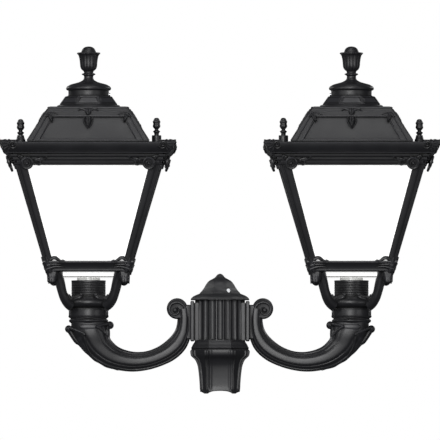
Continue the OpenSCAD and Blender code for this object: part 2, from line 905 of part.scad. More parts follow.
module chimney_screw() {
    color(STEEL)
    on_seat()
    translate([-chimney_r, 0, chimney_z + 3])
        along_x() {
            cylinder(r = 1.5, h = 5);
            translate([0, 0, -1.8])
                cylinder(r = 2.6, h = 1.8);
        }
}

module finial() {
    k = finial_h / 61;
    color(BLACK)
    on_seat()
    translate([0, 0, finial_z])
        rotate_extrude()
            polygon([[0, -16], [4, -16], [4, 0], [13.6, 0], [10, 2.4 * k], [8.2, 5.5 * k], [8.2, 9.6 * k],
                [10.6, 10.6 * k], [11.3, 12 * k], [10.6, 13.4 * k], [8.2, 14.8 * k], [8.2, 16.5 * k],
                [12.2, 20.5 * k], [14.4, 24.5 * k], [15.2, 30.5 * k], [16.4, 41 * k], [17.6, 45 * k],
                [20.1, 47.6 * k], [19.8, 49.6 * k], [16.8, 50.8 * k], [12.4, 51.2 * k], [11.8, 54 * k],
                [9.4, 57.4 * k], [5.2, 60 * k], [0, 61 * k]]);
}

module finial_nut() {
    color(STEEL)
    on_seat()
    translate([0, 0, finial_z - 4])
        difference() {
            union() {
                translate([0, 0, -1.5])
                    cylinder(r = 9, h = 1.5);
                translate([0, 0, -8])
                    cylinder(r = 7.5, h = 6.5, $fn = 6);
            }
            translate([0, 0, -9])
                cylinder(r = 4 + FIT, h = 10);
        }
}

// A thumb knob: its stud passes the roof and screws into a lug of the cage. Lift raises the inner knob's head.
module thumb_knob(x, lift) {
    stud = knob_stud_d / 2;
    h = boss_top_z;
    color(BLACK)
    on_seat()
    translate([x, 0, 0])
        rotate_extrude()
            polygon([[0, stud_z], [stud, stud_z], [stud, h], [4, h], [4, h + 2 + lift], [5.6, h + 3.2 + lift],
                [5.6, h + 5 + lift], [3.4, h + 6.4 + lift], [3.2, h + 8 + lift], [5.4, h + 11 + lift],
                [6.6, h + 14 + lift], [6.2, h + 18.5 + lift], [6.7, h + 21 + lift], [5.8, h + 24 + lift],
                [3.4, h + 27 + lift], [0, h + 28.2 + lift]]);
}

module inner_knob() {
    thumb_knob(-knob_x, 2.3);
}

module outer_knob() {
    thumb_knob(knob_x, 0);
}

// ---- the assembly -------------------------------------------------------------------------------

post_capital();
post_set_screws();
hub_drum();
hub_base_screws();
hub_cap();
cap_gasket();
cap_bracket();
cap_screws();
terminal_tray();
terminal_block();
terminal_screws();

left() arm();  // left_arm
left() arm_gasket();  // left_arm_gasket
left() arm_bolts();  // left_arm_bolts
left() supply_lead();  // left_supply_lead
left() cradle();  // left_cradle
left() neck_screws();  // left_neck_screws
left() lamp_cup();  // left_lamp_cup
left() lampholder();  // left_lampholder
left() lamp();  // left_lamp
left() diffuser();  // left_diffuser
left() cage();  // left_cage
left() cage_screws();  // left_cage_screws
left() roof_gasket();  // left_roof_gasket
left() roof_cover();  // left_roof_cover
left() vent_ring();  // left_vent_ring
left() chimney_cap();  // left_chimney_cap
left() chimney_screw();  // left_chimney_screw
left() finial();  // left_finial
left() finial_nut();  // left_finial_nut
left() inner_knob();  // left_inner_knob
left() outer_knob();  // left_outer_knob

arm();  // right_arm
arm_gasket();  // right_arm_gasket
arm_bolts();  // right_arm_bolts
supply_lead();  // right_supply_lead
cradle();  // right_cradle
neck_screws();  // right_neck_screws
lamp_cup();  // right_lamp_cup
lampholder();  // right_lampholder
lamp();  // right_lamp
diffuser();  // right_diffuser
cage();  // right_cage
cage_screws();  // right_cage_screws
roof_gasket();  // right_roof_gasket
roof_cover();  // right_roof_cover
vent_ring();  // right_vent_ring
chimney_cap();  // right_chimney_cap
chimney_screw();  // right_chimney_screw
finial();  // right_finial
finial_nut();  // right_finial_nut
inner_knob();  // right_inner_knob
outer_knob();  // right_outer_knob
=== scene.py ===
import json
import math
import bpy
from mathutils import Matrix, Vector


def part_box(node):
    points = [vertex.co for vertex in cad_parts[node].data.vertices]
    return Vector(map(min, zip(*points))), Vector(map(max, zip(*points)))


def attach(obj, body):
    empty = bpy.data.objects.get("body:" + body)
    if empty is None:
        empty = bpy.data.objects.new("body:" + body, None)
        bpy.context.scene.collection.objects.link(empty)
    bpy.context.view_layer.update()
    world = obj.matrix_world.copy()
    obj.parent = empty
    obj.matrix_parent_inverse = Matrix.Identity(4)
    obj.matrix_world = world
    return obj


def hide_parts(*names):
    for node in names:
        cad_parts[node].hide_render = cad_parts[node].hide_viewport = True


bl_info = {
    "name": "Twin Lantern Post Head",
    "version": (1, 0, 0),
    "blender": (4, 2, 0),
    "location": "3D View > Sidebar > Lantern",
    "description": "Builds the cast skins of a twin-lantern post head round its packed frame",
    "category": "Add Mesh",
}

import bmesh
import bpy
import numpy as np
from mathutils import Vector

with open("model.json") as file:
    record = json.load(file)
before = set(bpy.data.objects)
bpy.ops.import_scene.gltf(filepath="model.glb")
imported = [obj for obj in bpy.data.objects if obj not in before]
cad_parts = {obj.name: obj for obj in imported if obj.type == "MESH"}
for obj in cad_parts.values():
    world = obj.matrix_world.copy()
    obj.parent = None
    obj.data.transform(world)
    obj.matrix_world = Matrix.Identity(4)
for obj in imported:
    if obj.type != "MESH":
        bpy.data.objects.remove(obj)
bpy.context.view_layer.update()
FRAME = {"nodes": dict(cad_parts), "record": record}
MM = 0.001
X, Y, Z = np.eye(3)


def box_mm(node):
    """Lowest and highest corner of a frame node in millimetres."""
    low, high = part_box(node)
    return np.array(low) / MM, np.array(high) / MM


# ---- heights and widths taken from the frame ------------------------------------------------------

CAPITAL_TOP = box_mm("post_capital")[1][2]
DRUM_LOW, DRUM_HIGH = box_mm("hub_drum")
CAP_LOW, CAP_HIGH = box_mm("hub_cap")
CAP_SCREWS_LOW, CAP_SCREWS_HIGH = box_mm("cap_screws")
CAGE_LOW, CAGE_HIGH = box_mm("right_cage")
ROOF_LOW, ROOF_HIGH = box_mm("right_roof_cover")
CHIMNEY_LOW, CHIMNEY_HIGH = box_mm("right_chimney_cap")
KNOB_LOW, KNOB_HIGH = box_mm("right_outer_knob")

# the lantern's own heights are counted from its seat on the arm
REACH = (ROOF_LOW[0] + ROOF_HIGH[0]) / 2
SEAT = box_mm("right_cradle")[0][2]
DIFFUSER_Z = box_mm("right_diffuser")[0][2] - SEAT
FOOT, CAGE_TOP = CAGE_LOW[2] - SEAT, CAGE_HIGH[2] - SEAT
ROOF_Z, ROOF_TOP = ROOF_LOW[2] - SEAT, ROOF_HIGH[2] - SEAT
EAVE_HALF = (ROOF_HIGH[0] - ROOF_LOW[0]) / 2
VENT_TOP = box_mm("right_vent_ring")[1][2] - SEAT
CHIMNEY_Z, FINIAL_Z = CHIMNEY_LOW[2] - SEAT, CHIMNEY_HIGH[2] - SEAT
CROWN_Z = box_mm("right_finial")[1][2] - SEAT
KNOB_X = (KNOB_LOW[0] + KNOB_HIGH[0]) / 2 - REACH
KNOB_Z, KNOB_TOP = KNOB_LOW[2] - SEAT, KNOB_HIGH[2] - SEAT
KNOB_LIFT = box_mm("right_inner_knob")[1][2] - KNOB_HIGH[2]
HUB_Z, HUB_TOP = DRUM_LOW[2], DRUM_HIGH[2]
PAD_X = box_mm("right_arm_gasket")[1][0]
CAP_SCREW_Z = (CAP_SCREWS_LOW[2] + CAP_SCREWS_HIGH[2]) / 2
CAP_SCREW_AZIMUTHS = (-62, 118)
NECK_SCREW_AZIMUTHS = (-25, 205)
CABLE_RADIUS = 10
VENT_BORE = 30.0
KNOB_BULB = 28.2


# ---- settings -------------------------------------------------------------------------------------


def length(name, description, millimetres, low=0.1, high=400.0):
    return bpy.props.FloatProperty(
        name=name,
        description=description,
        default=millimetres * MM,
        min=low * MM,
        max=high * MM,
        unit="LENGTH",
        subtype="DISTANCE",
        precision=4,
    )


def colour(name, description, rgb):
    return bpy.props.FloatVectorProperty(
        name=name, description=description, default=(*rgb, 1.0), size=4, min=0.0, max=1.0, subtype="COLOR"
    )


def share(name, description, value):
    return bpy.props.FloatProperty(
        name=name, description=description, default=value, min=0.0, max=1.0, subtype="FACTOR"
    )


def number(name, description, value, low, high):
    return bpy.props.IntProperty(name=name, description=description, default=value, min=low, max=high)


class LanternHubSettings(bpy.types.PropertyGroup):
    drum_radius: length("Drum radius", "Radius over the drum's ridges", 43.75, 38, 55)
    flutes: number("Flutes", "Hollows round the drum", 22, 12, 32)
    flute_depth: length("Flute depth", "Depth of each hollow", 3.0, 0.5, 4)
    rib_height: length("Rib height", "Height of the paired ribs on the capital", 1.6, 0.3, 3)
    panel_width: length("Panel width", "Width of a broad panel of the capital", 39.4, 30, 46)


class LanternArmSettings(bpy.types.PropertyGroup):
    bead_height: length("Bead height", "Relief of the edge beads along the arm", 1.9, 0.2, 3)
    scroll_radius: length("Scroll radius", "Radius of the ball scroll", 18.2, 12, 22)
    leaf_length: length("Leaf length", "Length of the leaf that wraps the arm below the lantern", 74, 30, 120)


class LanternCageSettings(bpy.types.PropertyGroup):
    foot_width: length("Foot width", "Width of the cage at its foot", 145, 130, 170)
    top_width: length("Top width", "Width of the cage at its top", 264.5, 230, 300)
    post_foot: length("Post at foot", "Face width of a corner post at its foot", 15.5, 10, 22)
    post_top: length("Post at top", "Face width of a corner post at its top", 21.0, 14, 28)
    wall: length("Wall", "Thickness of the cage wall", 7, 4, 10)
    volute_radius: length("Volute radius", "Radius of the scrolls under the top rail", 11.6, 7, 14)


class LanternRoofSettings(bpy.types.PropertyGroup):
    base_width: length("Base width", "Width of the pyramid at its base", 217, 190, 230)
    crown_width: length("Crown width", "Width of the pyramid at its top", 140, 120, 170)
    eave_height: length("Eave height", "Height of the eave band", 18.8, 12, 24)
    apron_rise: length("Apron rise", "Rise of the eave's top towards the pyramid", 2.8, 1, 10)
    frame_width: length("Frame width", "Width of the raised border on a roof face", 14.5, 6, 24)
    relief: length("Relief", "Height of the raised borders", 2.0, 0.5, 4)
    petals: number("Petals", "Petals round the finial", 12, 6, 20)
    lobes: number("Knob lobes", "Lobes round a thumb knob", 6, 4, 10)


class LanternFinishSettings(bpy.types.PropertyGroup):
    resin: colour("Resin", "Colour of the moulded resin", (0.0108, 0.0108, 0.0130))
    resin_roughness: share("Resin roughness", "Roughness of the moulded resin", 0.42)
    opal: colour("Opal", "Colour of the opal diffuser", (0.93, 0.93, 0.92))
    steel: colour("Steel", "Colour of the screws", (0.80, 0.81, 0.83))
    grain: share("Grain", "Strength of the moulded grain", 0.12)


class LanternStageSettings(bpy.types.PropertyGroup):
    elevation: bpy.props.FloatProperty(
        name="Elevation",
        description="Height of the view above the horizon",
        default=math.radians(-1.5),
        min=-0.5,
        max=1.2,
        subtype="ANGLE",
    )
    distance: bpy.props.FloatProperty(
        name="Distance", description="Distance of the camera", default=25.0, min=2.0, max=30.0, unit="LENGTH"
    )
    view_width: length("View width", "Width seen at the object", 770, 100, 2000)


# ---- shapes ---------------------------------------------------------------------------------------


class Shape:
    """Closed skins gathered in millimetres, to become one mesh."""

    def __init__(self, *parts):
        self.points, self.faces, self.count = [], [], 0
        self.add(*parts)

    def add(self, *parts):
        for points, faces in parts:
            self.points.append(np.asarray(points, float))
            self.faces += [[i + self.count for i in face] for face in faces]
            self.count += len(points)

    def add_round(self, part, count=4, first=0.0):
        """Adds the part as many times round Z."""
        self.add(*all_round(part, count, first))

    def add_both_ways(self, part, rise=0.0):
        """Adds the part and its mirror image on each of the four sides, set higher on the two end sides."""
        made = all_round(part) + all_round(flipped(part))
        self.add(*[placed(one, (0, 0, rise * (i % 2))) for i, one in enumerate(made)])

    def part(self):
        return np.concatenate(self.points), self.faces


def placed(part, origin=(0, 0, 0), x=X, y=Y, z=Z):
    """The part with its own axes laid along x, y and z at an origin."""
    return part[0] @ np.array([x, y, z], float) + np.array(origin, float), part[1]


def turned(part, degrees):
    c, s = math.cos(math.radians(degrees)), math.sin(math.radians(degrees))
    return placed(part, (0, 0, 0), (c, s, 0), (-s, c, 0), Z)


def flipped(part):
    """The part mirrored across X."""
    return placed(part, (0, 0, 0), -X, Y, Z)


def all_round(part, count=4, first=0.0):
    return [turned(part, first + 360.0 * i / count) for i in range(count)]


def loft(rings, closed=False):
    """A skin over rings of equal length. The ends are capped unless it closes on itself."""
    size, last = len(rings[0]), len(rings)
    faces = []
    for i in range(last if closed else last - 1):
        a, b = i * size, (i + 1) % last * size
        faces += [[a + j, a + (j + 1) % size, b + (j + 1) % size, b + j] for j in range(size)]
    if not closed:
        faces.append(list(range(size))[::-1])
        faces.append([(last - 1) * size + j for j in range(size)])
    return np.concatenate(rings), faces


def lathe(profile, steps=64, radius=None, closed=False):
    """Radius and height pairs turned round Z. radius(r, z, angles) may shape each ring."""
    angles = np.arange(steps) * 2 * math.pi / steps
    rings = []
    for r, z in profile:
        rr = radius(r, z, angles) if radius else np.full(steps, float(r))
        rings.append(np.column_stack([rr * np.cos(angles), rr * np.sin(angles), np.full(steps, float(z))]))
    return loft(rings, closed)


def flat_sided(profile, sides=4):
    """A closed profile of flat distance and height carried round a regular prism."""
    corner = math.pi / sides
    angles = np.arange(sides) * 2 * corner + corner
    rings = []
    for d, z in profile:
        r = d / math.cos(corner)
        rings.append(np.column_stack([r * np.cos(angles), r * np.sin(angles), np.full(sides, float(z))]))
    return loft(rings, closed=True)


def smooth(points, steps=6):
    """A smooth run through rows of numbers."""
    p = np.asarray(points, float)
    out = []
    for i in range(len(p) - 1):
        a, b, c, d = p[max(i - 1, 0)], p[i], p[i + 1], p[min(i + 2, len(p) - 1)]
        for k in range(steps):
            t = k / steps
            out.append(
                0.5 * (2 * b + (c - a) * t + (2 * a - 5 * b + 4 * c - d) * t * t + (3 * b - a - 3 * c + d) * t**3)
            )
    out.append(p[-1])
    return np.array(out)


def unit(v):
    v = np.asarray(v, float)
    return v / (np.linalg.norm(v) or 1.0)


def oval(steps=12, power=2.0):
    """A rounded outline of unit half width and half height."""
    a = np.arange(steps) * 2 * math.pi / steps
    c, s = np.cos(a), np.sin(a)
    return np.column_stack([np.sign(c) * np.abs(c) ** (2 / power), np.sign(s) * np.abs(s) ** (2 / power)])


def sweep(path, outline, wide, tall, across, closed=False):
    """An outline carried along a path. Its first number lies in the path's plane and its second along across."""
    path = np.asarray(path, float)
    wide = np.broadcast_to(wide, len(path))
    tall = np.broadcast_to(tall, len(path))
    across = unit(across)
    rings = []
    last = len(path) - 1
    for i, p in enumerate(path):
        along = unit(path[min(i + 1, last)] - path[max(i - 1, 0)])
        side = unit(np.cross(across, along))
        section = outline(i) if callable(outline) else outline
        rings.append(p + np.outer(section[:, 0] * wide[i], side) + np.outer(section[:, 1] * tall[i], across))
    return loft(rings, closed)


def coil(centre, start_radius, end_radius, start, turn, steps=40):
    """Points of a flat spiral, in degrees and millimetres."""
    t = np.linspace(0, 1, steps)
    a = np.radians(start + turn * t)
    r = start_radius * (end_radius / start_radius) ** t
    return np.column_stack([centre[0] + r * np.cos(a), centre[1] + r * np.sin(a)])


def dome(radius, height, steps=24, rows=5, foot=1.0):
    """A low round boss standing on XY with its foot sunk below."""
    profile = [(radius, -foot)] + [
        (radius * math.cos(a), height * math.sin(a)) for a in np.linspace(0, math.pi / 2, rows + 1)[:-1]
    ]
    profile.append((radius * 0.03, height))
    return lathe(profile, steps)


def rounded_block(low, high, edge=1.5):
    """A block with chamfered edges between two corners."""
    low, high = np.asarray(low, float), np.asarray(high, float)
    rings = []
    for z, inset in ((low[2], edge), (low[2] + edge, 0), (high[2] - edge, 0), (high[2], edge)):
        xs = (low[0] + inset, high[0] - inset)
        ys = (low[1] + inset, high[1] - inset)
        rings.append(np.array(
            [(xs[0] + edge, ys[0], z), (xs[1] - edge, ys[0], z), (xs[1], ys[0] + edge, z), (xs[1], ys[1] - edge, z),
             (xs[1] - edge, ys[1], z), (xs[0] + edge, ys[1], z), (xs[0], ys[1] - edge, z), (xs[0], ys[0] + edge, z)]
        ))
    return loft(rings)


def leaf(size, width, rise, lobes=5, tip=0.0, steps=30, sink=1.2):
    """A lobed leaf lying along X from its stem at the origin, with a sunk vein and a tip that lifts."""
    rings = []
    across = np.linspace(-1, 1, 13)
    for i in range(steps + 1):
        u = i / steps
        bulge = math.sin(math.pi * min(1.0, 0.16 + 0.84 * u) ** 0.85) ** 0.75 if u < 1 else 0.0
        notch = 0.76 + 0.24 * abs(math.cos(math.pi * lobes * u))
        half = max(width / 2 * bulge * notch, 0.15)
        body = rise * (0.45 + 0.55 * math.sin(math.pi * (0.1 + 0.8 * u)))
        vein = 0.30 * rise * np.exp(-((across / 0.13) ** 2))
        fingers = 0.16 * rise * np.cos(2 * math.pi * lobes * u - 3.0 * np.abs(across)) * np.abs(across)
        z = body * np.sqrt(np.clip(1 - across**2, 0, 1)) * 0.85 + 0.15 * body - vein + fingers * (1 - across**4)
        z = z + tip * u**3
        top = np.column_stack([np.full(13, size * u), across * half, z])
        under = np.column_stack([np.full(13, size * u), across[::-1] * half, np.full(13, -sink + tip * u**3)])
        rings.append(np.concatenate([top, under]))
    return loft(rings)


def raised(rows, z):
    """Profile rows of distance and height, lifted by z."""
    return [(d, z + h) for d, h in rows]


def straight(a, b):
    """A straight run between two places."""
    return np.array([a, (a + b) / 2, b])


def taper(run, stops, sizes):
    """Sizes along a run, given at stops from 0 to 1."""
    return np.interp(np.linspace(0, 1, len(run)), stops, sizes)


def as_object(name, shape, body, nodes=(), slot="black_resin", sharp=32.0, bevel=0.0, shift=(0, 0, 0), mirror=False):
    """Makes the mesh object, gives it its slot's finish and ties it to its body."""
    points, faces = shape.part() if isinstance(shape, Shape) else shape
    points = points + np.array(shift, float)
    if mirror:
        points = points * np.array([-1, 1, 1])
    mesh = bpy.data.meshes.new(name)
    mesh.from_pydata((points * MM).tolist(), [], faces)
    work = bmesh.new()
    work.from_mesh(mesh)
    bmesh.ops.remove_doubles(work, verts=work.verts, dist=2e-6)
    bmesh.ops.dissolve_degenerate(work, edges=work.edges, dist=1e-6)
    bmesh.ops.recalc_face_normals(work, faces=work.faces)
    work.to_mesh(mesh)
    work.free()
    mesh.polygons.foreach_set("use_smooth", [True] * len(mesh.polygons))
    mesh.set_sharp_from_angle(angle=math.radians(sharp))
    mesh.materials.append(finish(slot))
    made = bpy.data.objects.new(name, mesh)
    bpy.context.scene.collection.objects.link(made)
    if bevel:
        edge = made.modifiers.new("soft edges", "BEVEL")
        edge.width = bevel * MM
        edge.segments = 2
        edge.limit_method = "ANGLE"
        edge.angle_limit = math.radians(sharp)
        edge.harden_normals = True
    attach(made, body)
    if nodes:
        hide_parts(*nodes)
    return made


def on_both(name, shape, body, node=None, shift=(REACH, 0, SEAT), **look):
    """The piece on the right side and its mirror image on the left."""
    for side in ("right", "left"):
        holder = body if body == "bracket" else f"{side}_{body}"
        nodes = [f"{side}_{node}"] if node else ()
        as_object(f"{side}_{name}", shape, holder, nodes, shift=shift, mirror=side == "left", **look)


# ---- finishes -------------------------------------------------------------------------------------


class Wire:
    """A value in a shader; arithmetic on it adds Math nodes."""

    def __init__(self, paint, socket):
        self.paint, self.socket = paint, socket

    def _math(self, operation, first, second):
        made = self.paint.node("ShaderNodeMath", {"operation": operation}, {0: first, 1: second})
        return Wire(self.paint, made.outputs[0])

    def __add__(self, other):
        return self._math("ADD", self, other)

    __radd__ = __add__

    def __mul__(self, other):
        return self._math("MULTIPLY", self, other)

    __rmul__ = __mul__

    def __sub__(self, other):
        return self._math("SUBTRACT", self, other)

    def __rsub__(self, other):
        return self._math("SUBTRACT", other, self)


class Paint:
    """A new material and the nodes that are put in it."""

    def __init__(self, name):
        self.material = bpy.data.materials.new(name)
        self.material.use_nodes = True
        self.tree = self.material.node_tree
        self.tree.nodes.clear()
        self.out = self.tree.nodes.new("ShaderNodeOutputMaterial")
        self.skin = self.tree.nodes.new("ShaderNodeBsdfPrincipled")
        self.tree.links.new(self.skin.outputs[0], self.out.inputs[0])

    def node(self, kind, settings=None, values=None):
        made = self.tree.nodes.new(kind)
        for key, value in (settings or {}).items():
            if key == "stops":
                ramp = made.color_ramp.elements
                for i, (place, tone) in enumerate(value):
                    stop = ramp[i] if i < 2 else ramp.new(place)
                    stop.position, stop.color = place, (tone, tone, tone, 1)
            else:
                setattr(made, key, value)
        for key, value in (values or {}).items():
            self.join(made.inputs[key], value)
        return made

    def join(self, socket, value):
        if isinstance(value, Wire):
            self.tree.links.new(value.socket, socket)
        elif isinstance(value, bpy.types.NodeSocket):
            self.tree.links.new(value, socket)
        else:
            socket.default_value = value

    def place(self):
        return self.node("ShaderNodeTexCoord").outputs["Object"]

    def noise(self, scale, detail=3.0, roughness=0.5):
        made = self.node(
            "ShaderNodeTexNoise", {}, {"Vector": self.place(), "Scale": scale, "Detail": detail, "Roughness": roughness}
        )
        return Wire(self, made.outputs["Fac"])

    def shade(self, distance, inside=False):
        """How open the surface is: low in creases or, from inside, low along edges."""
        settings = {"inside": inside, "samples": 6, "only_local": inside}
        return Wire(self, self.node("ShaderNodeAmbientOcclusion", settings, {"Distance": distance}).outputs["AO"])

    def ramp(self, wire, *stops):
        return Wire(self, self.node("ShaderNodeValToRGB", {"stops": stops}, {0: wire}).outputs[0])

    def mix(self, amount, first, second):
        made = self.node("ShaderNodeMix", {"data_type": "RGBA"}, {0: amount, 6: first, 7: second})
        return made.outputs[2]

    def bump(self, height, distance, strength):
        made = self.node("ShaderNodeBump", {}, {"Height": height, "Distance": distance, "Strength": strength})
        self.join(self.skin.inputs["Normal"], made.outputs[0])

    def skin_is(self, **values):
        for key, value in values.items():
            self.join(self.skin.inputs[key.replace("_", " ")], value)
        return self.material


def tone(rgb, gain):
    return (*[min(1.0, c * gain) for c in rgb[:3]], 1.0)


def grey(value):
    return (value, value, value, 1.0)


def moulded_resin(look, name="moulded_resin", lift=1.0):
    """Matt black resin with a fine moulded grain and faint cloudiness, painted near black in its creases as painted
    shade and lighter along its edges as a painted highlight.
    """
    paint = Paint(name)
    cloud = paint.noise(28.0, 2.0)
    grain = paint.noise(900.0, 2.0)
    # Painted shade: an occlusion mask, low in creases and between parts, that darkens the resin almost to black there
    # and makes it rougher.
    crease = paint.ramp(paint.shade(0.007), (0.4, 0.0), (0.96, 1.0))
    # Painted highlight: an occlusion mask taken from inside, low along convex edges, that lightens the resin there.
    painted_edge_highlight = paint.ramp(paint.shade(0.002, True), (0.15, 1.0), (0.62, 0.0))
    paint.bump(grain, 0.00025, look.grain)
    clouded = paint.ramp(cloud, (0.3, 0.0), (0.75, 1.0))
    plain = paint.mix(clouded, tone(look.resin, 0.86 * lift), tone(look.resin, 1.18 * lift))
    # The resin painted lighter along its edges, as a painted highlight.
    painted_highlight_resin = paint.mix(painted_edge_highlight * 0.6, plain, tone(look.resin, 2.6 * lift))
    return paint.skin_is(
        # Painted shade: the creases are painted near black over the edge-lit resin.
        Base_Color=paint.mix(crease, tone(look.resin, 0.08), painted_highlight_resin),
        Roughness=look.resin_roughness + (cloud - 0.5) * 0.14 + (grain - 0.5) * 0.06 + (1 - crease) * 0.3,
        Specular_IOR_Level=0.62,
    )


def opal_diffuser(look):
    paint = Paint("opal_sheet_painted_glow")
    haze = paint.noise(16.0, 1.0)
    return paint.skin_is(
        Base_Color=paint.mix(haze, tone(look.opal, 0.985), look.opal[:]),
        Roughness=0.34 + haze * 0.08,
        # Painted glow: the white emission keeps the opal sheet evenly bright white, standing in for the light on it.
        Emission_Color=(1.0, 1.0, 0.99, 1.0),
        Emission_Strength=0.75,
    )


def glowing_glass():
    paint = Paint("lamp_glass")
    haze = paint.noise(30.0, 1.0)
    return paint.skin_is(
        Base_Color=paint.mix(haze, (0.86, 0.86, 0.85, 1), (0.93, 0.93, 0.92, 1)),
        Roughness=0.2 + haze * 0.06,
        Emission_Color=(1.0, 1.0, 0.98, 1.0),
        Emission_Strength=0.5,
    )


def bright_steel(look):
    paint = Paint("bright_steel")
    streak = paint.noise(420.0, 2.0)
    paint.bump(streak, 0.0001, 0.08)
    return paint.skin_is(
        Base_Color=paint.mix(streak, tone(look.steel, 0.85), look.steel[:]),
        Roughness=0.24 + streak * 0.16,
        Metallic=1.0,
    )


def soft_rubber():
    paint = Paint("soft_rubber")
    dust = paint.noise(160.0, 2.0)
    paint.bump(dust, 0.0002, 0.1)
    return paint.skin_is(Base_Color=paint.mix(dust, grey(0.008), grey(0.016)), Roughness=0.72 + dust * 0.1)


def glazed_porcelain():
    paint = Paint("glazed_porcelain")
    glaze = paint.noise(60.0, 2.0)
    return paint.skin_is(
        Base_Color=paint.mix(glaze, (0.88, 0.88, 0.86, 1), (0.93, 0.93, 0.91, 1)), Roughness=0.16 + glaze * 0.08
    )


FINISHES = {}


def finish(name):
    """The finishes are made once and shared."""
    if not FINISHES:
        look = bpy.context.scene.lantern_finish
        FINISHES.update(
            black_resin=moulded_resin(look),
            black_cup=moulded_resin(look, "ribbed_resin", 0.8),
            opal_diffuser=opal_diffuser(look),
            lamp_glass=glowing_glass(),
            stainless_steel=bright_steel(look),
            black_rubber=soft_rubber(),
            white_porcelain=glazed_porcelain(),
        )
    return FINISHES[name]


# ---- capital and hub ------------------------------------------------------------------------------


def ease(a, b, x):
    t = np.clip((np.asarray(x, float) - a) / (b - a), 0, 1)
    return t * t * (3 - 2 * t)


def capital_shape(s):
    """A flared head on a neck, with four broad and four narrow panels between paired ribs."""
    rib, width = s.rib_height / MM, s.panel_width / MM / 2
    outline = smooth(
        [(34.8, 0), (35.2, 14), (36.2, 30), (38.2, 46), (40.6, 54), (43.6, 59.6), (47.4, 63.2), (50.4, 66.4),
         (51.5, 71.5), (51.2, 75.5), (49.6, 80.5), (47.4, 85.4), (45.0, 88.8), (43.8, CAPITAL_TOP)],
        5,
    )

    def broad(p, a, z, live):
        border = 0.5 * np.exp(-(((np.abs(p) - 0.86) / 0.08) ** 2)) - 0.5 * (1 - ease(0.66, 0.8, np.abs(p)))
        return border * live - 1.3 * np.exp(-(((np.abs(p) - 1.0) / 0.05) ** 2)) * live

    def narrow(p, a, z, live):
        inset = (1 - np.abs(p)) * (a - width) / math.sqrt(2)
        second = 5.2 + 4.2 * float(ease(40, 70, z))
        ribs = np.exp(-(((inset - 2.1) / 1.15) ** 2)) + np.exp(-(((inset - second) / 1.25) ** 2))
        dips = 0.8 * np.exp(-(((inset - 2.1 - (second - 2.1) / 2) / 0.9) ** 2)) + 0.9 * np.exp(-((inset / 0.7) ** 2))
        return (rib * ribs - dips - 0.5 * ease(second, second + 2.5, inset)) * live

    rows = []
    for a, z in outline:
        live = float(ease(1.5, 6, z) * (1 - ease(73.8, 76.0, z)))
        line = -1.6 * math.exp(-(((z - 77.2) / 1.1) ** 2)) + 0.5 * math.exp(-(((z - 79.6) / 0.9) ** 2))
        ring = []
        for k in range(4):
            for angle, dist, half, count, relief in (
                (90 * k, a, width, 28, broad),
                (90 * k + 45, (a + width) / math.sqrt(2), (a - width) / math.sqrt(2), 60, narrow),
            ):
                across = np.linspace(-1, 1, count, endpoint=False)
                c, si = math.cos(math.radians(angle)), math.sin(math.radians(angle))
                out = dist + relief(across, a, z, live) + line
                x, y = out * c - across * half * si, out * si + across * half * c
                hollow = 5.0 * (1 - (np.minimum(np.abs(x), np.abs(y)) / np.maximum(np.abs(x), np.abs(y))) ** 2)
                ring.append(np.column_stack([x, y, z + hollow * (1 - float(ease(0, 34, z)))]))
        rows.append(np.concatenate(ring))
    angles = np.arctan2(rows[0][:, 1], rows[0][:, 0])
    lift = rows[0][:, 2]

    def round_row(r, z, arched=0.0):
        return np.column_stack([r * np.cos(angles), r * np.sin(angles), z + arched * lift])

    way, socket, end = CABLE_RADIUS, 30.2, 80
    inside = [round_row(way, CAPITAL_TOP), round_row(way, end), round_row(socket, end), round_row(socket, 0, 1)]
    return loft(rows + inside, closed=True)


def drum_shape(s):
    """The fluted drum with its two mounting pads."""
    r0, depth, count = s.drum_radius / MM, s.flute_depth / MM, s.flutes

    def fluted(r, z, angles):
        if r < r0 - 1:
            return np.full(len(angles), float(r))
        t = 2 * ((angles * count / (2 * math.pi)) % 1.0) - 1
        hollow = np.sqrt(np.clip(1 - (t / 0.8) ** 2, 0, 1))
        ends = float(ease(HUB_Z + 0.6, HUB_Z + 2.2, z) * (1 - ease(HUB_TOP - 2.2, HUB_TOP - 0.6, z)))
        return r - depth * hollow * ends

    heights = [HUB_Z + h for h in (0, 0.6, 1.4, 2.4, 24, 48)] + [HUB_TOP - h for h in (2.4, 1.4, 0.6, 0)]
    bore, floor = r0 - 8, HUB_Z + 5
    profile = [(r0, z) for z in heights]
    profile += [(bore, HUB_TOP), (bore, floor), (CABLE_RADIUS, floor), (CABLE_RADIUS, HUB_Z)]
    shape = Shape(lathe(profile, count * 16, fluted, closed=True))
    for side in (-1, 1):
        low, high = sorted((side * (r0 - 7), side * (r0 + 0.2)))
        shape.add(rounded_block((low, -24, HUB_Z), (high, 24, HUB_Z + 67), 0.8))
    return shape


def cap_shape():
    """The bell-shaped octagonal cap with a drooping skirt."""
    z0 = CAP_LOW[2] + 3
    k = (CAP_HIGH[2] - z0) / 43
    rim = (CAP_HIGH[0] - CAP_LOW[0]) / 2
    rows = smooth([(rim, -3), (rim - 1.0, -0.5), (rim - 4.2, 2.6), (rim - 9.6, 5.5), (rim - 15.8, 8.0)], 3).tolist()
    rows += smooth(
        [(rim - 16.2, 9.2), (rim - 18.2, 11.2), (rim - 20.6, 14), (rim - 24, 19), (rim - 27, 24.2), (rim - 29.8, 28.0),
         (rim - 33.4, 31.2), (rim - 38.4, 33.9), (9.0, 36.3), (6.8, 38.8), (4.0, 41.8), (0.2, 43.2)],
        3,
    ).tolist()
    rows += [(0.2, 38), (6, 30.5), (rim - 36, 27), (rim - 30.8, 20), (rim - 24.8, 11), (rim - 19.5, 5)]
    skirt = raised([(35.75, 4), (35.75, 0), (rim - 6.1, 0), (rim - 6.1, -3)], z0)
    return flat_sided([(d, z0 + z * k) for d, z in rows] + skirt, 8)


# ---- arms -----------------------------------------------------------------------------------------

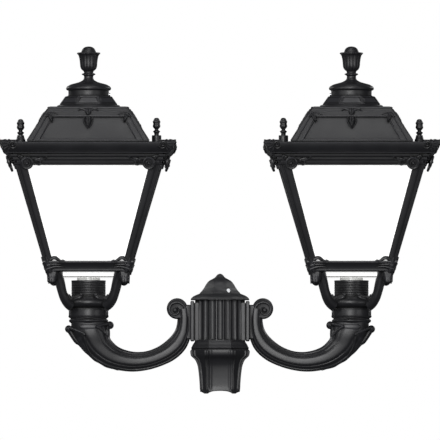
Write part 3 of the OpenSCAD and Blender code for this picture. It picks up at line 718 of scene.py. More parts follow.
ARM_PATH = [
    (230.0, 131.0, 30.6, 31.0), (229.8, 124.0, 30.2, 30.6), (227.8, 113.0, 30.2, 31.0), (221.8, 100.2, 28.2, 30.0),
    (212.8, 83.6, 24.6, 27.0), (195.4, 68.2, 21.5, 24.0), (176.4, 59.8, 19.2, 21.5), (151.7, 55.6, 17.5, 19.5),
    (127.2, 57.7, 16.4, 18.3), (105.0, 65.0, 16.6, 17.6), (87.5, 75.0, 17.4, 17.2), (73.8, 88.2, 17.0, 16.8),
    (65.4, 104.4, 14.8, 16.4), (62.4, 121.0, 12.9, 16.0), (62.2, 136.0, 12.4, 15.6), (64.0, 148.0, 11.6, 15.0),
]
ARM_POWER = 2.5


class ArmLines:
    """The arm's middle line with its half width and half depth, counted from its top."""

    def __init__(self):
        rows = smooth(ARM_PATH, 7)
        self.path = np.column_stack([rows[:, 0], np.zeros(len(rows)), rows[:, 1]])
        self.wide, self.deep = rows[:, 2], rows[:, 3]
        self.travel = np.concatenate([[0], np.cumsum(np.linalg.norm(np.diff(self.path, axis=0), axis=1))])

    def at(self, distance):
        """Index of the point at a distance along the arm."""
        return int(np.searchsorted(self.travel, distance))

    def side(self, i):
        """Unit vector towards the outer edge of the bend."""
        last = len(self.path) - 1
        along = unit(self.path[min(i + 1, last)] - self.path[max(i - 1, 0)])
        return unit(np.cross(along, Y))


def arm_shape(s):
    bead = s.bead_height / MM
    lines = ArmLines()
    base = oval(96, ARM_POWER)
    count = len(lines.path)

    def outline(i):
        u, v = base[:, 0], base[:, 1]
        strength = float(ease(0.10, 0.2, i / count)) * bead / lines.deep[i]
        q = np.abs(u)
        relief = 1.0 * np.exp(-(((q - 0.86) / 0.05) ** 2)) - 0.8 * np.exp(-(((q - 0.73) / 0.05) ** 2))
        relief += -0.7 * np.exp(-(((q - 0.44) / 0.035) ** 2)) + 0.35 * (1 - ease(0.30, 0.42, q))
        return np.column_stack([u, v * (1 + strength * relief * (np.abs(v) > 0.25))])

    shape = Shape(sweep(lines.path, outline, lines.wide, lines.deep, Y))
    # neck ring, seat and spigot under the lantern
    neck = [(24, 17), (29.9, 17), (29.9, 0.2), (33.8, 0.2), (34.0, -0.8), (31.6, -1.8), (31.4, -2.6), (32.8, -3.4),
            (34.2, -4.8), (34.3, -6.4), (33.4, -8.2), (31.2, -9.6), (30.4, -10.6), (30.4, -13), (30.4, -18), (24, -18)]
    shape.add(placed(lathe(neck, 72, closed=True), (REACH, 0, SEAT)))
    # flange and the filling between it and the rising band
    shape.add(rounded_block((PAD_X, -24, HUB_Z - 0.6), (PAD_X + 6.8, 24, HUB_Z + 69.4), 1.4))
    shape.add(rounded_block((PAD_X + 3, -14, HUB_Z + 2.5), (PAD_X + 18, 14, HUB_Z + 63), 2.0))
    shape.add(*ball_scroll(s.scroll_radius / MM, 75.0, 148.4))
    shape.add(*hugging_leaves(lines, s.leaf_length / MM), *rolled_heads(), *leaf_edges(lines), *leaf_stems(lines))
    # soft swelling below the ring on both faces
    for face in (-1, 1):
        place = (REACH - 1.0, face * 29.2, SEAT - 17)
        shape.add(placed(dome(1.0, 1.0, 32, 6, 0.6), place, 17 * X, 6.5 * Z, face * 2.6 * Y))
    return shape


def ball_scroll(r, cx, cz):
    """A dished wheel with a spiral roll and an eye on each face."""
    rim = [(r - 7, 12.6), (r - 4.5, 13.8), (r - 2.4, 14.2), (r - 0.6, 12.6), (r, 9.5)]
    wheel = [(0.3, -12.4)] + [(d, -h) for d, h in rim] + [(r, 0)] + rim[::-1] + [(0.3, 12.4)]
    parts = [placed(lathe(wheel, 64), (cx, 0, cz), X, Z, -Y)]
    for face in (-1, 1):
        turn = coil((cx + 3.0, cz - 3.0), 19.5, 4.6, 205, -470, 70)
        t = np.linspace(0, 1, len(turn))
        run = np.column_stack([turn[:, 0], np.full(len(turn), face * 12.6), turn[:, 1]])
        parts.append(sweep(run, oval(12), 2.6 - 1.1 * t, 3.0 - 0.8 * t, Y))
        parts.append(placed(dome(4.4, 4.0), (cx + 3.4, face * 12.4, cz - 3.2), X, Z, face * Y))
    return parts


def hugging_leaves(lines, size):
    """Leaves that hug the outer and the inner edge of the arm below the lantern."""
    parts = []
    v = np.linspace(-1, 1, 15)
    for edge, start, reach in ((1, 22.0, size), (-1, 15.0, size * 0.56)):
        rows = []
        for u in np.linspace(0, 1, 40):
            i = lines.at(start + reach * u)
            side, deep = lines.side(i) * edge, lines.deep[i]
            notch = 0.80 + 0.20 * abs(math.cos(math.pi * 4 * u))
            y = v * (deep * (1 - 0.35 * u) * 0.82 * notch * math.sqrt(max(0.0, 1 - u**2.2)) + 0.3)
            skin = lines.wide[i] * np.sqrt(np.clip(1 - (np.abs(y) / deep) ** ARM_POWER, 0, 1))
            rise = 0.9 * (1 - 0.55 * u) * (1 - v**6) - 0.9 * np.exp(-((v / 0.12) ** 2))
            rise += 0.5 * np.cos(math.pi * 8 * u - 2.5 * np.abs(v)) * (1 - v**2)
            top = lines.path[i] + np.outer(skin + rise, side) + np.outer(y, Y)
            low = lines.path[i] + np.outer(skin[::-1] - 2.5, side) + np.outer(y[::-1], Y)
            rows.append(np.concatenate([top, low]))
        parts.append(loft(rows))
    return parts


def rolled_heads():
    """The rolled ends of the leaves, outer and inner."""
    parts = []
    for cx, cz, r, half in ((34.6, -20.4, 6.6, 15.0), (-37.2, -13.6, 6.9, 13.0)):
        rim = [(0.3, half), (r * 0.55, half - 0.4), (r * 0.9, half - 2.4), (r, half - 5)]
        roll = [(d, -h) for d, h in rim] + [(r * 0.92, 0)] + rim[::-1]
        parts.append(placed(lathe(roll, 28), (REACH + cx, 0, SEAT + cz), X, Z, -Y))
        for face in (-1, 1):
            parts.append(placed(dome(r * 0.42, 2.2), (REACH + cx, face * (half - 0.6), SEAT + cz), X, Z, face * Y))
    return parts


def leaf_edges(lines):
    """Leaf edges that leave the arm and end in the rolled heads."""
    edges = ((1, (33.8, -20.8), ((24, 0.8), (34, -1.4), (46, -2.8), (60, -4.4))),
             (-1, (-36.0, -14.6), ((30, 0.4), (39, -1.8), (52, -4.4))))
    parts = []
    for edge, head, stops in edges:
        rows = [np.array([REACH + head[0], 0, SEAT + head[1]])]
        for distance, off in stops:
            i = lines.at(distance)
            rows.append(lines.path[i] + lines.side(i) * edge * (lines.wide[i] + off))
        run = smooth(rows, 6)
        t = np.linspace(0, 1, len(run))
        parts.append(sweep(run, oval(20, 2.6), 5.6 - 2.4 * t**0.7, 13.5 - 4.5 * t, Y))
    return parts


def leaf_stems(lines):
    """Stems on both faces, running from the rolled heads down the arm."""
    parts = []
    for face in (-1, 1):
        for edge, head, reach in ((1, (33.4, -17.6), 88.0), (-1, (-35.0, -11.0), 62.0)):
            rows = [np.array([REACH + head[0], face * 15.0, SEAT + head[1]])]
            thick = [3.4]
            for u in np.linspace(0.12, 1, 16):
                i = lines.at(10.0 + reach * u)
                keep = 0.84 * min(1.0, 0.35 + 1.3 * u)
                y = lines.deep[i] * (1 - keep**ARM_POWER) ** (1 / ARM_POWER)
                rows.append(lines.path[i] + lines.side(i) * edge * lines.wide[i] * keep + Y * face * (y + 0.1))
                thick.append(3.0 * (1 - 0.8 * u))
            run = smooth(rows, 3)
            slim = taper(run, np.linspace(0, 1, len(thick)), thick)
            parts.append(sweep(run, oval(10), slim, slim * 0.9, Y))
    return parts


# ---- lantern --------------------------------------------------------------------------------------


def cradle_shape(s):
    """Collar, bowl, four bowed arms and their feet, in the lantern's own place."""
    shape = Shape()
    collar = [(30.1, 0), (34.4, 0), (35.2, 0.9), (35.2, 3.0), (34.6, 3.6), (34.6, 12.6), (35.2, 13.2), (35.2, 15.0),
              (34.4, 16.0), (33.2, 16.8), (33.8, 17.6), (36.8, 18.2), (40.0, 20.0), (42.0, 22.6), (42.6, 25.4),
              (42.2, 28.4), (40.8, 31.0), (39.4, 33.0), (37.8, 34.6), (35.0, 35.4), (31.6, 34.6), (30.4, 30),
              (30.4, 20), (12, 20), (12, 18), (30.1, 18)]
    shape.add(lathe(collar, 96, closed=True))
    # clamp cheeks round the two set screws
    for azimuth in NECK_SCREW_AZIMUTHS:
        shape.add(turned(rounded_block((31.5, -3.9, 2.0), (36.4, 3.9, 15.4), 0.8), azimuth))
    arm = smooth([(44.5, 0, 21.0), (52.0, 0, 25.2), (58.6, 0, 32.4), (63.4, 0, 41.0), (67.0, 0, 50.0), (70.2, 0, 60.0),
                  (74.0, 0, 70.0), (79.0, 0, 79.0)], 5)
    grow = taper(arm, [0, 0.15, 0.5, 0.85, 1], [8.8, 7.9, 7.4, 8.2, 9.8])
    ridge = oval(28, 2.3)
    v = ridge[:, 1]
    relief = 0.10 * np.exp(-((v / 0.16) ** 2)) - 0.08 * np.exp(-(((np.abs(v) - 0.42) / 0.12) ** 2))
    shape.add_round(sweep(arm, ridge * (1 + relief)[:, None], grow, grow, Y), 4, 45)
    # feet that meet the cage, with a leaf on both outer faces
    half = s.foot_width / MM / 2
    foot = []
    for z, low, out in ((56.8, 7, -10.5), (57.6, 4.8, -7.6), (59.4, 3.2, -5.2), (62.0, 2.0, -3.2), (66, 0.8, -1.6),
                        (72, 0.3, -0.6), (FOOT, 0.0, -0.4)):
        inner, outer = half - 19 + low, half + out
        e = 3.6
        foot.append(np.array([(inner, inner, z), (outer - e, inner, z), (outer, inner + e, z), (outer, outer - e, z),
                              (outer - e, outer, z), (inner + e, outer, z), (inner, outer - e, z)]))
    shape.add_round(loft(foot))
    vein = placed(leaf(19, 12, 1.6, 2, 0.4), (half - 9.0, -half + 2.2, 60.5), Z, X, -Y)
    shape.add_both_ways(vein)
    # rolled leaves that run from each arm along the bowl and turn up beside the cup
    roll = smooth([(34, 25.5), (28, 29.4), (22.5, 31.8), (17.5, 33.2), (13.6, 36.0), (12.2, 39.4)], 6)
    crease = smooth([(30, 31.4), (24.5, 35.0), (19.5, 36.8), (16.4, 38.6)], 5)
    for sign in (-1, 1):
        run = on_bowl(roll, sign, [42.4, 41.4, 39.6, 36.6])
        slim = taper(run, [0, 0.4, 0.8, 1], [3.6, 3.9, 3.6, 2.6])
        shape.add_round(sweep(run, oval(14), slim, slim * 0.95, -Y))
        run = on_bowl(crease, sign, [42.0, 41.0, 39.2, 36.8])
        shape.add_round(sweep(run, oval(12), np.linspace(1.4, 2.2, len(run)), 2.2, -Y))
        shape.add_round(placed(dome(3.0, 2.6, 18), (sign * 12.4, -36.6, 39.2), X, Z, -Y))
    return shape


def on_bowl(rows, sign, radii):
    """Rows of sideways distance and height laid on the cradle's bowl, whose radii are given at four heights."""
    r = np.interp(rows[:, 1], [24, 30, 34, 40], radii)
    return np.column_stack([sign * rows[:, 0], -np.sqrt(r**2 - rows[:, 0] ** 2), rows[:, 1]])


class Face:
    """A leaning front face: spot() gives a place on it and laid() lays a part on it."""

    def laid(self, part, x, along, lift=0.0, turn=0.0):
        """A part drawn on XY laid on the face at a place, turned in its plane."""
        c, s = math.cos(math.radians(turn)), math.sin(math.radians(turn))
        return placed(part, self.spot(x, along, lift), c * X + s * self.up, -s * X + c * self.up, self.normal)


class CageFace(Face):
    def __init__(self, s):
        self.low = s.foot_width / MM / 2
        self.slope = (s.top_width / MM / 2 - self.low) / (CAGE_TOP - FOOT)
        self.normal = unit((0, -1, -self.slope))
        self.up = unit((0, -self.slope, 1))

    def half(self, z):
        return self.low + (z - FOOT) * self.slope

    def spot(self, x, z, lift=0.0):
        return np.array([x, -self.half(z), z]) + self.normal * lift

    def rail(self, rows, z):
        """A rail from rows of how far it stands off the face and how high above z."""
        return flat_sided([(self.half(z + h) + off, z + h) for off, h in rows])


TOP_RAIL = 18.5
FOOT_RAIL = 19.0


def cage_shape(s):
    face, wall = CageFace(s), s.wall / MM
    shape = Shape()
    shape.add(face.rail(
        [(-0.6, 0), (0.9, 0.3), (1.7, 1.4), (1.7, 2.8), (0.5, 4.0), (0.0, 4.4), (0.0, 7.8), (0.5, 8.2), (1.4, 9.2),
         (1.4, 10.2), (0.4, 11.2), (0.2, 13.2), (0.8, 13.6), (2.6, 14.6), (3.0, 16.4), (2.8, TOP_RAIL),
         (-wall, TOP_RAIL), (-wall, 0)],
        CAGE_TOP - TOP_RAIL,
    ))
    shape.add(face.rail(
        [(-1.8, 0), (-0.2, 1.2), (0.3, 2.6), (0.0, 3.4), (0.0, 13.6), (0.6, 14.2), (1.5, 15.4), (1.4, 17.2),
         (0.4, FOOT_RAIL), (-1.4, FOOT_RAIL + 0.4), (-wall, FOOT_RAIL), (-wall, 0)],
        FOOT,
    ))
    edge = face.half(FOOT + 10) - 3
    shape.add(flat_sided(raised([(edge, 11), (edge, 17), (46, 17), (46, 11)], FOOT)))
    shape.add_round(corner_post(face, s.post_foot / MM, s.post_top / MM, wall))
    # lugs for the thumb knob studs and bosses for the cage screws
    for side in (-1, 1):
        middle = side * (face.half(CAGE_TOP) - 13.5)
        shape.add(rounded_block((middle - 8, -11, CAGE_TOP - 13), (middle + 8, 11, CAGE_TOP - 0.2), 1.0))
    spot = face.half(FOOT) - 12.5
    shape.add_round(rounded_block((spot - 8, spot - 8, FOOT), (spot + 8, spot + 8, FOOT + 16), 1.0))
    add_volutes(shape, face, s.volute_radius / MM)
    add_foot_leaves(shape, face, face.half(FOOT + FOOT_RAIL) - s.post_foot / MM)
    return shape


def corner_post(face, low_width, high_width, wall):
    """An angle with a bead on its arris and a groove down each face."""
    rings = []
    for z in np.linspace(FOOT + 0.5, CAGE_TOP - 0.5, 14):
        t = (z - FOOT) / (CAGE_TOP - FOOT)
        w = low_width * (1 - t) + high_width * t
        h = face.half(z)
        one = [(0, -1.0), (-0.25, -0.25), (-1.0, 0), (-w * 0.22, 0), (-w * 0.27, -0.9), (-w * 0.33, -0.9),
               (-w * 0.38, 0.0), (-w * 0.55, 0.5), (-w * 0.74, 0.2), (-w + 1.2, -0.3), (-w, -1.4), (-w, -wall)]
        ring = [(h + b, h + a) for a, b in one[::-1]] + [(h + a, h + b) for a, b in one[1:]] + [(h - wall, h - wall)]
        rings.append(np.array([(x, y, z) for x, y in ring]))
    return loft(rings)


def add_volutes(shape, face, r):
    """Volutes that stand off both ends of each face under the top rail, with their leaves."""
    z = CAGE_TOP - TOP_RAIL + 6.0
    x = face.half(z) - 22.4
    off = 7.6
    end_rise = 3.0
    disc = raised([(0.3, 0), (r - 2.0, 0), (r - 0.4, 0.8), (r, 2.2), (r - 0.5, 3.8), (r - 2.2, 4.6), (r - 3.8, 4.0),
                   (r - 5.0, 3.0), (0.3, 3.0)], off)
    shape.add_both_ways(face.laid(lathe(disc, 40), x, z), end_rise)
    turn = coil((0, 0), r - 1.4, 2.6, 120, -560, 60)
    slim = np.linspace(1.8, 1.1, len(turn))
    run = np.column_stack([turn, np.full(len(turn), off + 3.6)])
    shape.add_both_ways(face.laid(sweep(run, oval(10), slim, slim, Z), x, z), end_rise)
    shape.add_both_ways(face.laid(dome(3.0, 3.4, 20), x, z, off + 3.0), end_rise)
    stem = rounded_block((-5.5, 3.0, -1), (5.5, r - 0.4, off + 2.0), 1.4)
    shape.add_both_ways(face.laid(stem, x, z), end_rise)
    # leaf above each volute towards the corner and a curled leaf beside it
    shape.add_both_ways(face.laid(leaf(15, 10, 3.4, 3, 1.0), x + 4.6, z + 4.2, 2.4, 38))
    curl = smooth([(-11.0, -1.0), (-15.5, -3.4), (-20.4, -4.6), (-23.6, -2.6), (-22.6, 0.4), (-24.0, 3.0), (-28.5, 4.8),
                   (-33.0, 7.0), (-34.4, 9.6), (-31.8, 10.8)], 5)
    run = np.column_stack([curl, np.full(len(curl), 1.0)])
    slim = taper(run, [0, 0.25, 0.6, 1], [1.4, 2.6, 2.3, 1.2])
    shape.add_both_ways(face.laid(sweep(run, oval(10), slim, 2.6, Z), x, z))
    shape.add_both_ways(face.laid(leaf(17, 8, 2.4, 3, 0.6), x - 14, z + 1.5, 0.6, 158))


def add_foot_leaves(shape, face, low_x):
    """Leaves on the corners of the bottom rail, with a rounded lump beside the post."""
    top = FOOT + FOOT_RAIL
    lump = smooth([(3.5, 2.0), (-1.5, 4.6), (-6.0, 4.4), (-10.5, 1.6), (-14.5, -0.8), (-19.0, 0.2), (-22.5, -1.6)], 5)
    run = np.array([face.spot(low_x + x, top + z, -1.6) for x, z in lump])
    slim = taper(run, [0, 0.35, 0.7, 1], [3.4, 3.4, 2.0, 1.0])
    shape.add_both_ways(sweep(run, oval(12), slim, 4.2, face.normal))
    t = np.linspace(0, 1, 18)
    slim = taper(t, [0, 0.3, 0.7, 1], [2.6, 3.0, 2.0, 0.9])
    for level, inset, z, reach, bend in ((8, 3.0, 4.6, 30.0, 4.6), (12, 4.0, 11.0, 25.0, 2.0)):
        x = face.half(FOOT + level) - inset
        run = [face.spot(x - reach * u, FOOT + z + bend * math.sin(math.pi * 0.75 * u), 0.4) for u in t]
        shape.add_both_ways(sweep(run, oval(12), slim, 2.6, face.normal))
    swell = [face.spot(face.half(FOOT + z) - 6.2, FOOT + z, 0.2) for z in np.linspace(-2.0, 26.0, 12)]
    bulge = 4.6 * np.sin(np.linspace(0.5, math.pi - 0.25, 12))
    shape.add_both_ways(sweep(swell, oval(14), bulge, 2.2, face.normal))
    shape.add_both_ways(face.laid(dome(2.4, 2.4, 18), low_x + 2.4, top - 4.6, 1.2))

# ---- roof -----------------------------------------------------------------------------------------


class RoofFace(Face):
    """The pyramid's front face. Distances along it run up its slope."""

    def __init__(self, s):
        self.relief = s.relief / MM
        sink = self.relief * 1.5
        self.base, self.top = s.base_width / MM / 2 - sink, s.crown_width / MM / 2 - sink
        self.eave_top = ROOF_Z + s.eave_height / MM
        self.apron = self.eave_top + s.apron_rise / MM
        rise = ROOF_TOP - self.apron
        self.slant = math.hypot(rise, self.base - self.top)
        self.band = self.slant - 21.5
        self.up = unit((0, self.base - self.top, rise))
        self.normal = unit((0, -rise, self.base - self.top))

    def half(self, t):
        """Half width of the face at a distance t up the slope."""
        return self.base - (self.base - self.top) * t / self.slant

    def spot(self, x, t, lift=0.0):
        return np.array([x, -self.base, self.apron]) + self.up * t + self.normal * lift

    def slab(self, outline, rise, edge=0.8, sink=0.8):
        """A raised panel from its outline of x and slope distance."""
        p = np.array(outline, float)
        centre = p.mean(0)
        inset = centre + (p - centre) * (1 - edge * 2 / np.ptp(p, axis=0).clip(4))
        layers = ((p, -sink), (p, rise - edge * 0.7), (inset, rise))
        return loft([np.array([self.spot(x, t, lift) for x, t in rows]) for rows, lift in layers])


def eave_out(z):
    """Distance of the eave's face from the axis at a height."""
    heights = [0, 2.6, 6, 10, 14, 19, 23.5]
    return EAVE_HALF - float(np.interp(z - ROOF_Z, heights, [14.0, 10.4, 7.2, 4.6, 2.9, 1.5, 0.6]))


def on_eave(x, z, lift):
    return np.array([x, -eave_out(z) - lift, z])


def roof_shape(s):
    face = RoofFace(s)
    shape = Shape(roof_skin(face))
    # thin fillets along the eave's face
    for h, out in ((1.2, 0.9), (17.2, 0.7)):
        d = eave_out(ROOF_Z + h)
        bead = [(d - 1.5, -1.0), (d + out * 0.6, -0.9), (d + out, 0), (d + out * 0.6, 0.9), (d - 1.5, 1.0)]
        shape.add(flat_sided(raised(bead, ROOF_Z + h)))
    for part in roof_borders(face, s.frame_width / MM):
        shape.add_round(part)
    # corner leaves in the upper corners of each panel
    for side in (-1, 1):
        corner = -face.half(face.band)
        leaves = ((10.5, 3.5, 15, 8, -68), (12.5, 6.0, 14, 7, -14), (9.5, 7.0, 11, 6, -118))
        parts = [face.laid(leaf(size, width, 3.0, 4, 0.6), corner + dx, face.band + dt, face.relief * 0.8, turn)
                 for dx, dt, size, width, turn in leaves]
        parts.append(face.laid(dome(2.4, 2.4, 18), corner + 10.5, face.band + 6.4, face.relief))
        for part in parts:
            shape.add_round(part if side < 0 else flipped(part))
    for part in roof_pendant(face):
        shape.add_round(part)
    # ears at the four corners, with a scroll and a fan of veins on both faces
    top, corner = face.eave_top, EAVE_HALF
    end = corner - 28.0
    ridge = []
    for h, back, front in ((-2.5, 6.5, 1.6), (2.0, 6.0, 1.0), (3.6, 5.2, 0.4), (4.4, 4.2, 1.0)):
        a, b = corner - back, corner - front
        ridge.append(np.array([(x, y, top + h) for x, y in ((end, a), (a, a), (a, end), (b, end), (b, b), (end, b))]))
    shape.add_round(loft(ridge))
    for part in ear_parts(corner - 21.8, top - 3.6, top + 3.6):
        shape.add_both_ways(part)
    # bosses under the thumb knobs
    boss = KNOB_TOP - KNOB_BULB - face.apron
    outer = [(0.3, -3), (11.4, -3), (11.2, 0.6), (9.0, 2.2), (8.4, 4.4), (8.8, 5.6), (7.4, 7.4), (6.2, boss - 2.4),
             (6.0, boss - 0.2), (0.3, boss - 0.2)]
    inner = [(0.3, -3), (9.6, -3), (9.4, 1.0), (8.3, 2.0), (8.3, boss - 1.0), (7.4, boss - 0.2), (0.3, boss - 0.2)]
    for x, rows in ((KNOB_X, outer), (-KNOB_X, inner)):
        shape.add(placed(lathe(raised(rows, face.apron), 40), (x, 0, 0)))
    return shape


def roof_skin(face):
    """Eave and pyramid in one thin shell, open at the vent and over the cage."""
    skin = 3.0
    seat, lip = EAVE_HALF - 13.6, EAVE_HALF - 40
    eave, apron, base, top = face.eave_top, face.apron, face.base, face.top
    rows = [(lip, ROOF_Z), (seat, ROOF_Z)]
    rows += [(eave_out(ROOF_Z + h), ROOF_Z + h) for h in (1.3, 2.6, 4.3, 6, 8, 10, 12, 14, 16, 17.6)]
    rows += [(EAVE_HALF - 1.5, eave), (EAVE_HALF - 3.0, eave + 0.5), (EAVE_HALF - 6.5, eave + 0.5),
             (base + 10, apron - 0.8), (base + 3, apron), (base, apron), (top + 0.3, ROOF_TOP - 0.5),
             (top - 0.6, ROOF_TOP), (VENT_BORE, ROOF_TOP), (VENT_BORE, ROOF_TOP - skin), (top - 2, ROOF_TOP - skin),
             (base - 3, apron - skin), (base + 10, apron - skin), (EAVE_HALF - 5.5, eave - skin + 0.5),
             (seat - 3, ROOF_Z + skin), (lip, ROOF_Z + skin)]
    return flat_sided(rows)


def roof_borders(face, width):
    """Raised borders with their inner beads, the cornice band and its lines."""
    full, band, relief = face.slant, face.band, face.relief
    foot, neck, crown = face.half(0), face.half(band), face.half(full)
    parts = []
    for side in (-1, 1):
        border = [(foot - 0.2, 0.2), (neck - 0.2, band), (neck - width, band), (foot - width - 5, 0.2)]
        parts.append(face.slab([(side * x, t) for x, t in border], relief))
        a, b = face.spot(side * (foot - width - 6.4), 4.4, 0.3), face.spot(side * (neck - width - 1.6), band, 0.3)
        parts.append(sweep(straight(a, b), oval(10), 1.1, 1.2, face.normal))
        a = face.spot(side * (foot - width * 0.5 - 2), 1.0, relief)
        b = face.spot(side * (neck - width * 0.42), band, relief)
        parts.append(sweep(straight(a, b), oval(8), 0.8, 0.8, face.normal))
    sill, edge = foot - width, face.half(4.6) - width
    parts.append(face.slab([(-sill, 0.2), (sill, 0.2), (edge, 4.6), (-edge, 4.6)], relief * 0.7))
    cornice = [(0.2 - neck, band), (neck - 0.2, band), (crown - 0.2, full - 0.3), (0.2 - crown, full - 0.3)]
    parts.append(face.slab(cornice, relief))
    for t, r in ((band + 1.4, 1.3), (band + 10.5, 0.9), (full - 3.0, 1.5)):
        w = face.half(t) - 1.2
        run = straight(face.spot(-w, t, relief), face.spot(w, t, relief))
        parts.append(sweep(run, oval(10), r, r * 0.8, face.normal))
    return parts


def roof_pendant(face):
    """Two sprigs and a shell on the cornice, then a drop with a rolled rim."""
    band, relief = face.band, face.relief
    parts = []
    for side in (-1, 1):
        sprig = smooth([(1.5, 9), (6, 13.5), (11, 15.5), (15.5, 13.8), (17.5, 11)], 5)
        run = [face.spot(side * x, band + t, relief + 0.6) for x, t in sprig]
        parts.append(sweep(run, oval(10), taper(run, [0, 0.5, 1], [2.2, 1.9, 0.7]), 1.8, face.normal))
    parts.append(face.laid(leaf(15, 13, 4.0, 3, 1.0), 0, band + 16.5, relief * 0.7, -90))
    side = [(6.0, -0.6), (8.2, -6.6), (7.0, -13), (3.6, -19)]
    rim = smooth([(0, 2), *side, (0, -23.4), *[(-x, t) for x, t in side[::-1]], (0, 2)], 4)[:-1]
    run = [face.spot(x, band + t, 0.8) for x, t in rim]
    parts.append(sweep(run, oval(10), 0.8, 1.0, face.normal, closed=True))
    parts.append(face.laid(leaf(22, 13, 5.2, 3, 1.0), 0, band - 1.0, 0.2, -90))
    return parts


def ear_parts(cx, cz, top):
    """The scroll round a centre and its fan of veins, at the right end of the front face."""
    run = [on_eave(x, min(z, top), 0.9) for x, z in coil((cx, cz), 7.6, 2.4, 205, 470, 50)]
    count = len(run)
    parts = [sweep(run, oval(10), np.linspace(1.9, 1.1, count), np.linspace(2.6, 2.2, count), -Y)]
    parts.append(placed(dome(2.4, 3.6, 18), on_eave(cx, cz, 0.3), X, Z, -Y))
    slim = np.array([0.9, 1.4, 1.7, 1.8, 1.6, 1.2, 0.7])
    for angle, reach in ((62, 9.5), (36, 12.6), (12, 16.5), (-12, 17.5), (-34, 16.0), (-58, 12.5)):
        c, s = math.cos(math.radians(angle)), math.sin(math.radians(angle))
        line = []
        for u in np.linspace(0, 1, len(slim)):
            z = min(max(cz + s * (6.5 + reach * u * 0.9), ROOF_Z + 1.5), top)
            line.append(on_eave(min(cx + c * (8.5 + reach * u), eave_out(z) - 2.4), z, -0.1))
        parts.append(sweep(line, oval(8), slim, slim * 1.1, -Y))
    return parts


def vent_shape():
    """Round flanges below an eight-sided frustum with a sunk panel on each side."""
    z0, h = ROOF_TOP, CHIMNEY_Z - ROOF_TOP
    flanges = [(VENT_BORE, 0), (57.6, 0), (58, 0.8), (57.4, 2.0), (55.6, 2.6), (55.0, 3.2), (54.6, 4.4), (52.6, 5.2),
               (50.0, 5.6), (46, 5.8), (VENT_BORE, 5.8)]
    shape = Shape(lathe(raised(flanges, z0), 96, closed=True))
    low, high = 49.4, 39.6
    foot, head = 5.4, h - 1.2
    frustum = [(VENT_BORE, foot), (low, foot), (low - 0.3, foot + 0.8), (high + 0.6, head - 0.4),
               (high - 0.8, head + 0.5), (38.4, h), (VENT_BORE, h)]
    shape.add(flat_sided(raised(frustum, z0), 8))
    neck, under = 33.2, z0 + h - 2
    shape.add(lathe([(VENT_BORE, under), (neck, under), (neck, VENT_TOP), (VENT_BORE, VENT_TOP)], 64, closed=True))
    slope = unit((0, low - high, head - foot))
    normal = unit((0, foot - head, low - high))
    slant = math.hypot(low - high, head - foot)

    def spot(x, t, lift):
        return np.array([x, -low, z0 + foot]) + slope * t + normal * lift

    def outline(inset):
        """The panel's corners, drawn in by an inset."""
        corners = []
        for t, side, way in ((1.3, -1, 1), (1.3, 1, 1), (slant - 1.2, 1, -1), (slant - 1.2, -1, -1)):
            half = (low + (high - low) * t / slant) * math.tan(math.pi / 8)
            corners.append((side * (half - 1.2 - inset), t + way * inset))
        return corners

    # frame round each panel
    ring = [spot(x, t, 0.1) for x, t in outline(0)]
    for a, b in zip(ring, ring[1:] + ring[:1]):
        shape.add_round(sweep(straight(a, b), oval(10, 2.6), 0.9, 1.1, normal), 8)
    for x, t in outline(0):
        shape.add_round(placed(dome(1.5, 1.3, 12), spot(x, t, 0.0), X, slope, normal), 8)
    layers = ((-0.8, 2.3), (0.7, 2.3), (1.2, 3.0))
    shape.add_round(loft([np.array([spot(x, t, lift) for x, t in outline(inset)]) for lift, inset in layers]), 8)
    return shape


def chimney_shape():
    top = FINIAL_Z - CHIMNEY_Z
    rows = [(33.5, 0), (35.7, 0), (36, 0.5), (36, 1.8), (35.4, 2.2), (35.5, 9.6), (36.2, 10.2), (37.6, 10.6),
            (38.9, 11.6), (39.4, 13.2), (39.2, 14.8), (38.2, 16.6), (36.4, 18.0), (33.8, 19.4), (33.4, 19.9),
            (30.8, 20.9), (27, 22.0), (22, 23.3), (17.5, 24.6), (14.4, 25.7), (13.8, top), (4.3, top), (4.3, top - 4),
            (10, top - 4), (16, 20.9), (30, 17), (33.5, 13)]
    return lathe(raised(rows, CHIMNEY_Z), 96, closed=True)


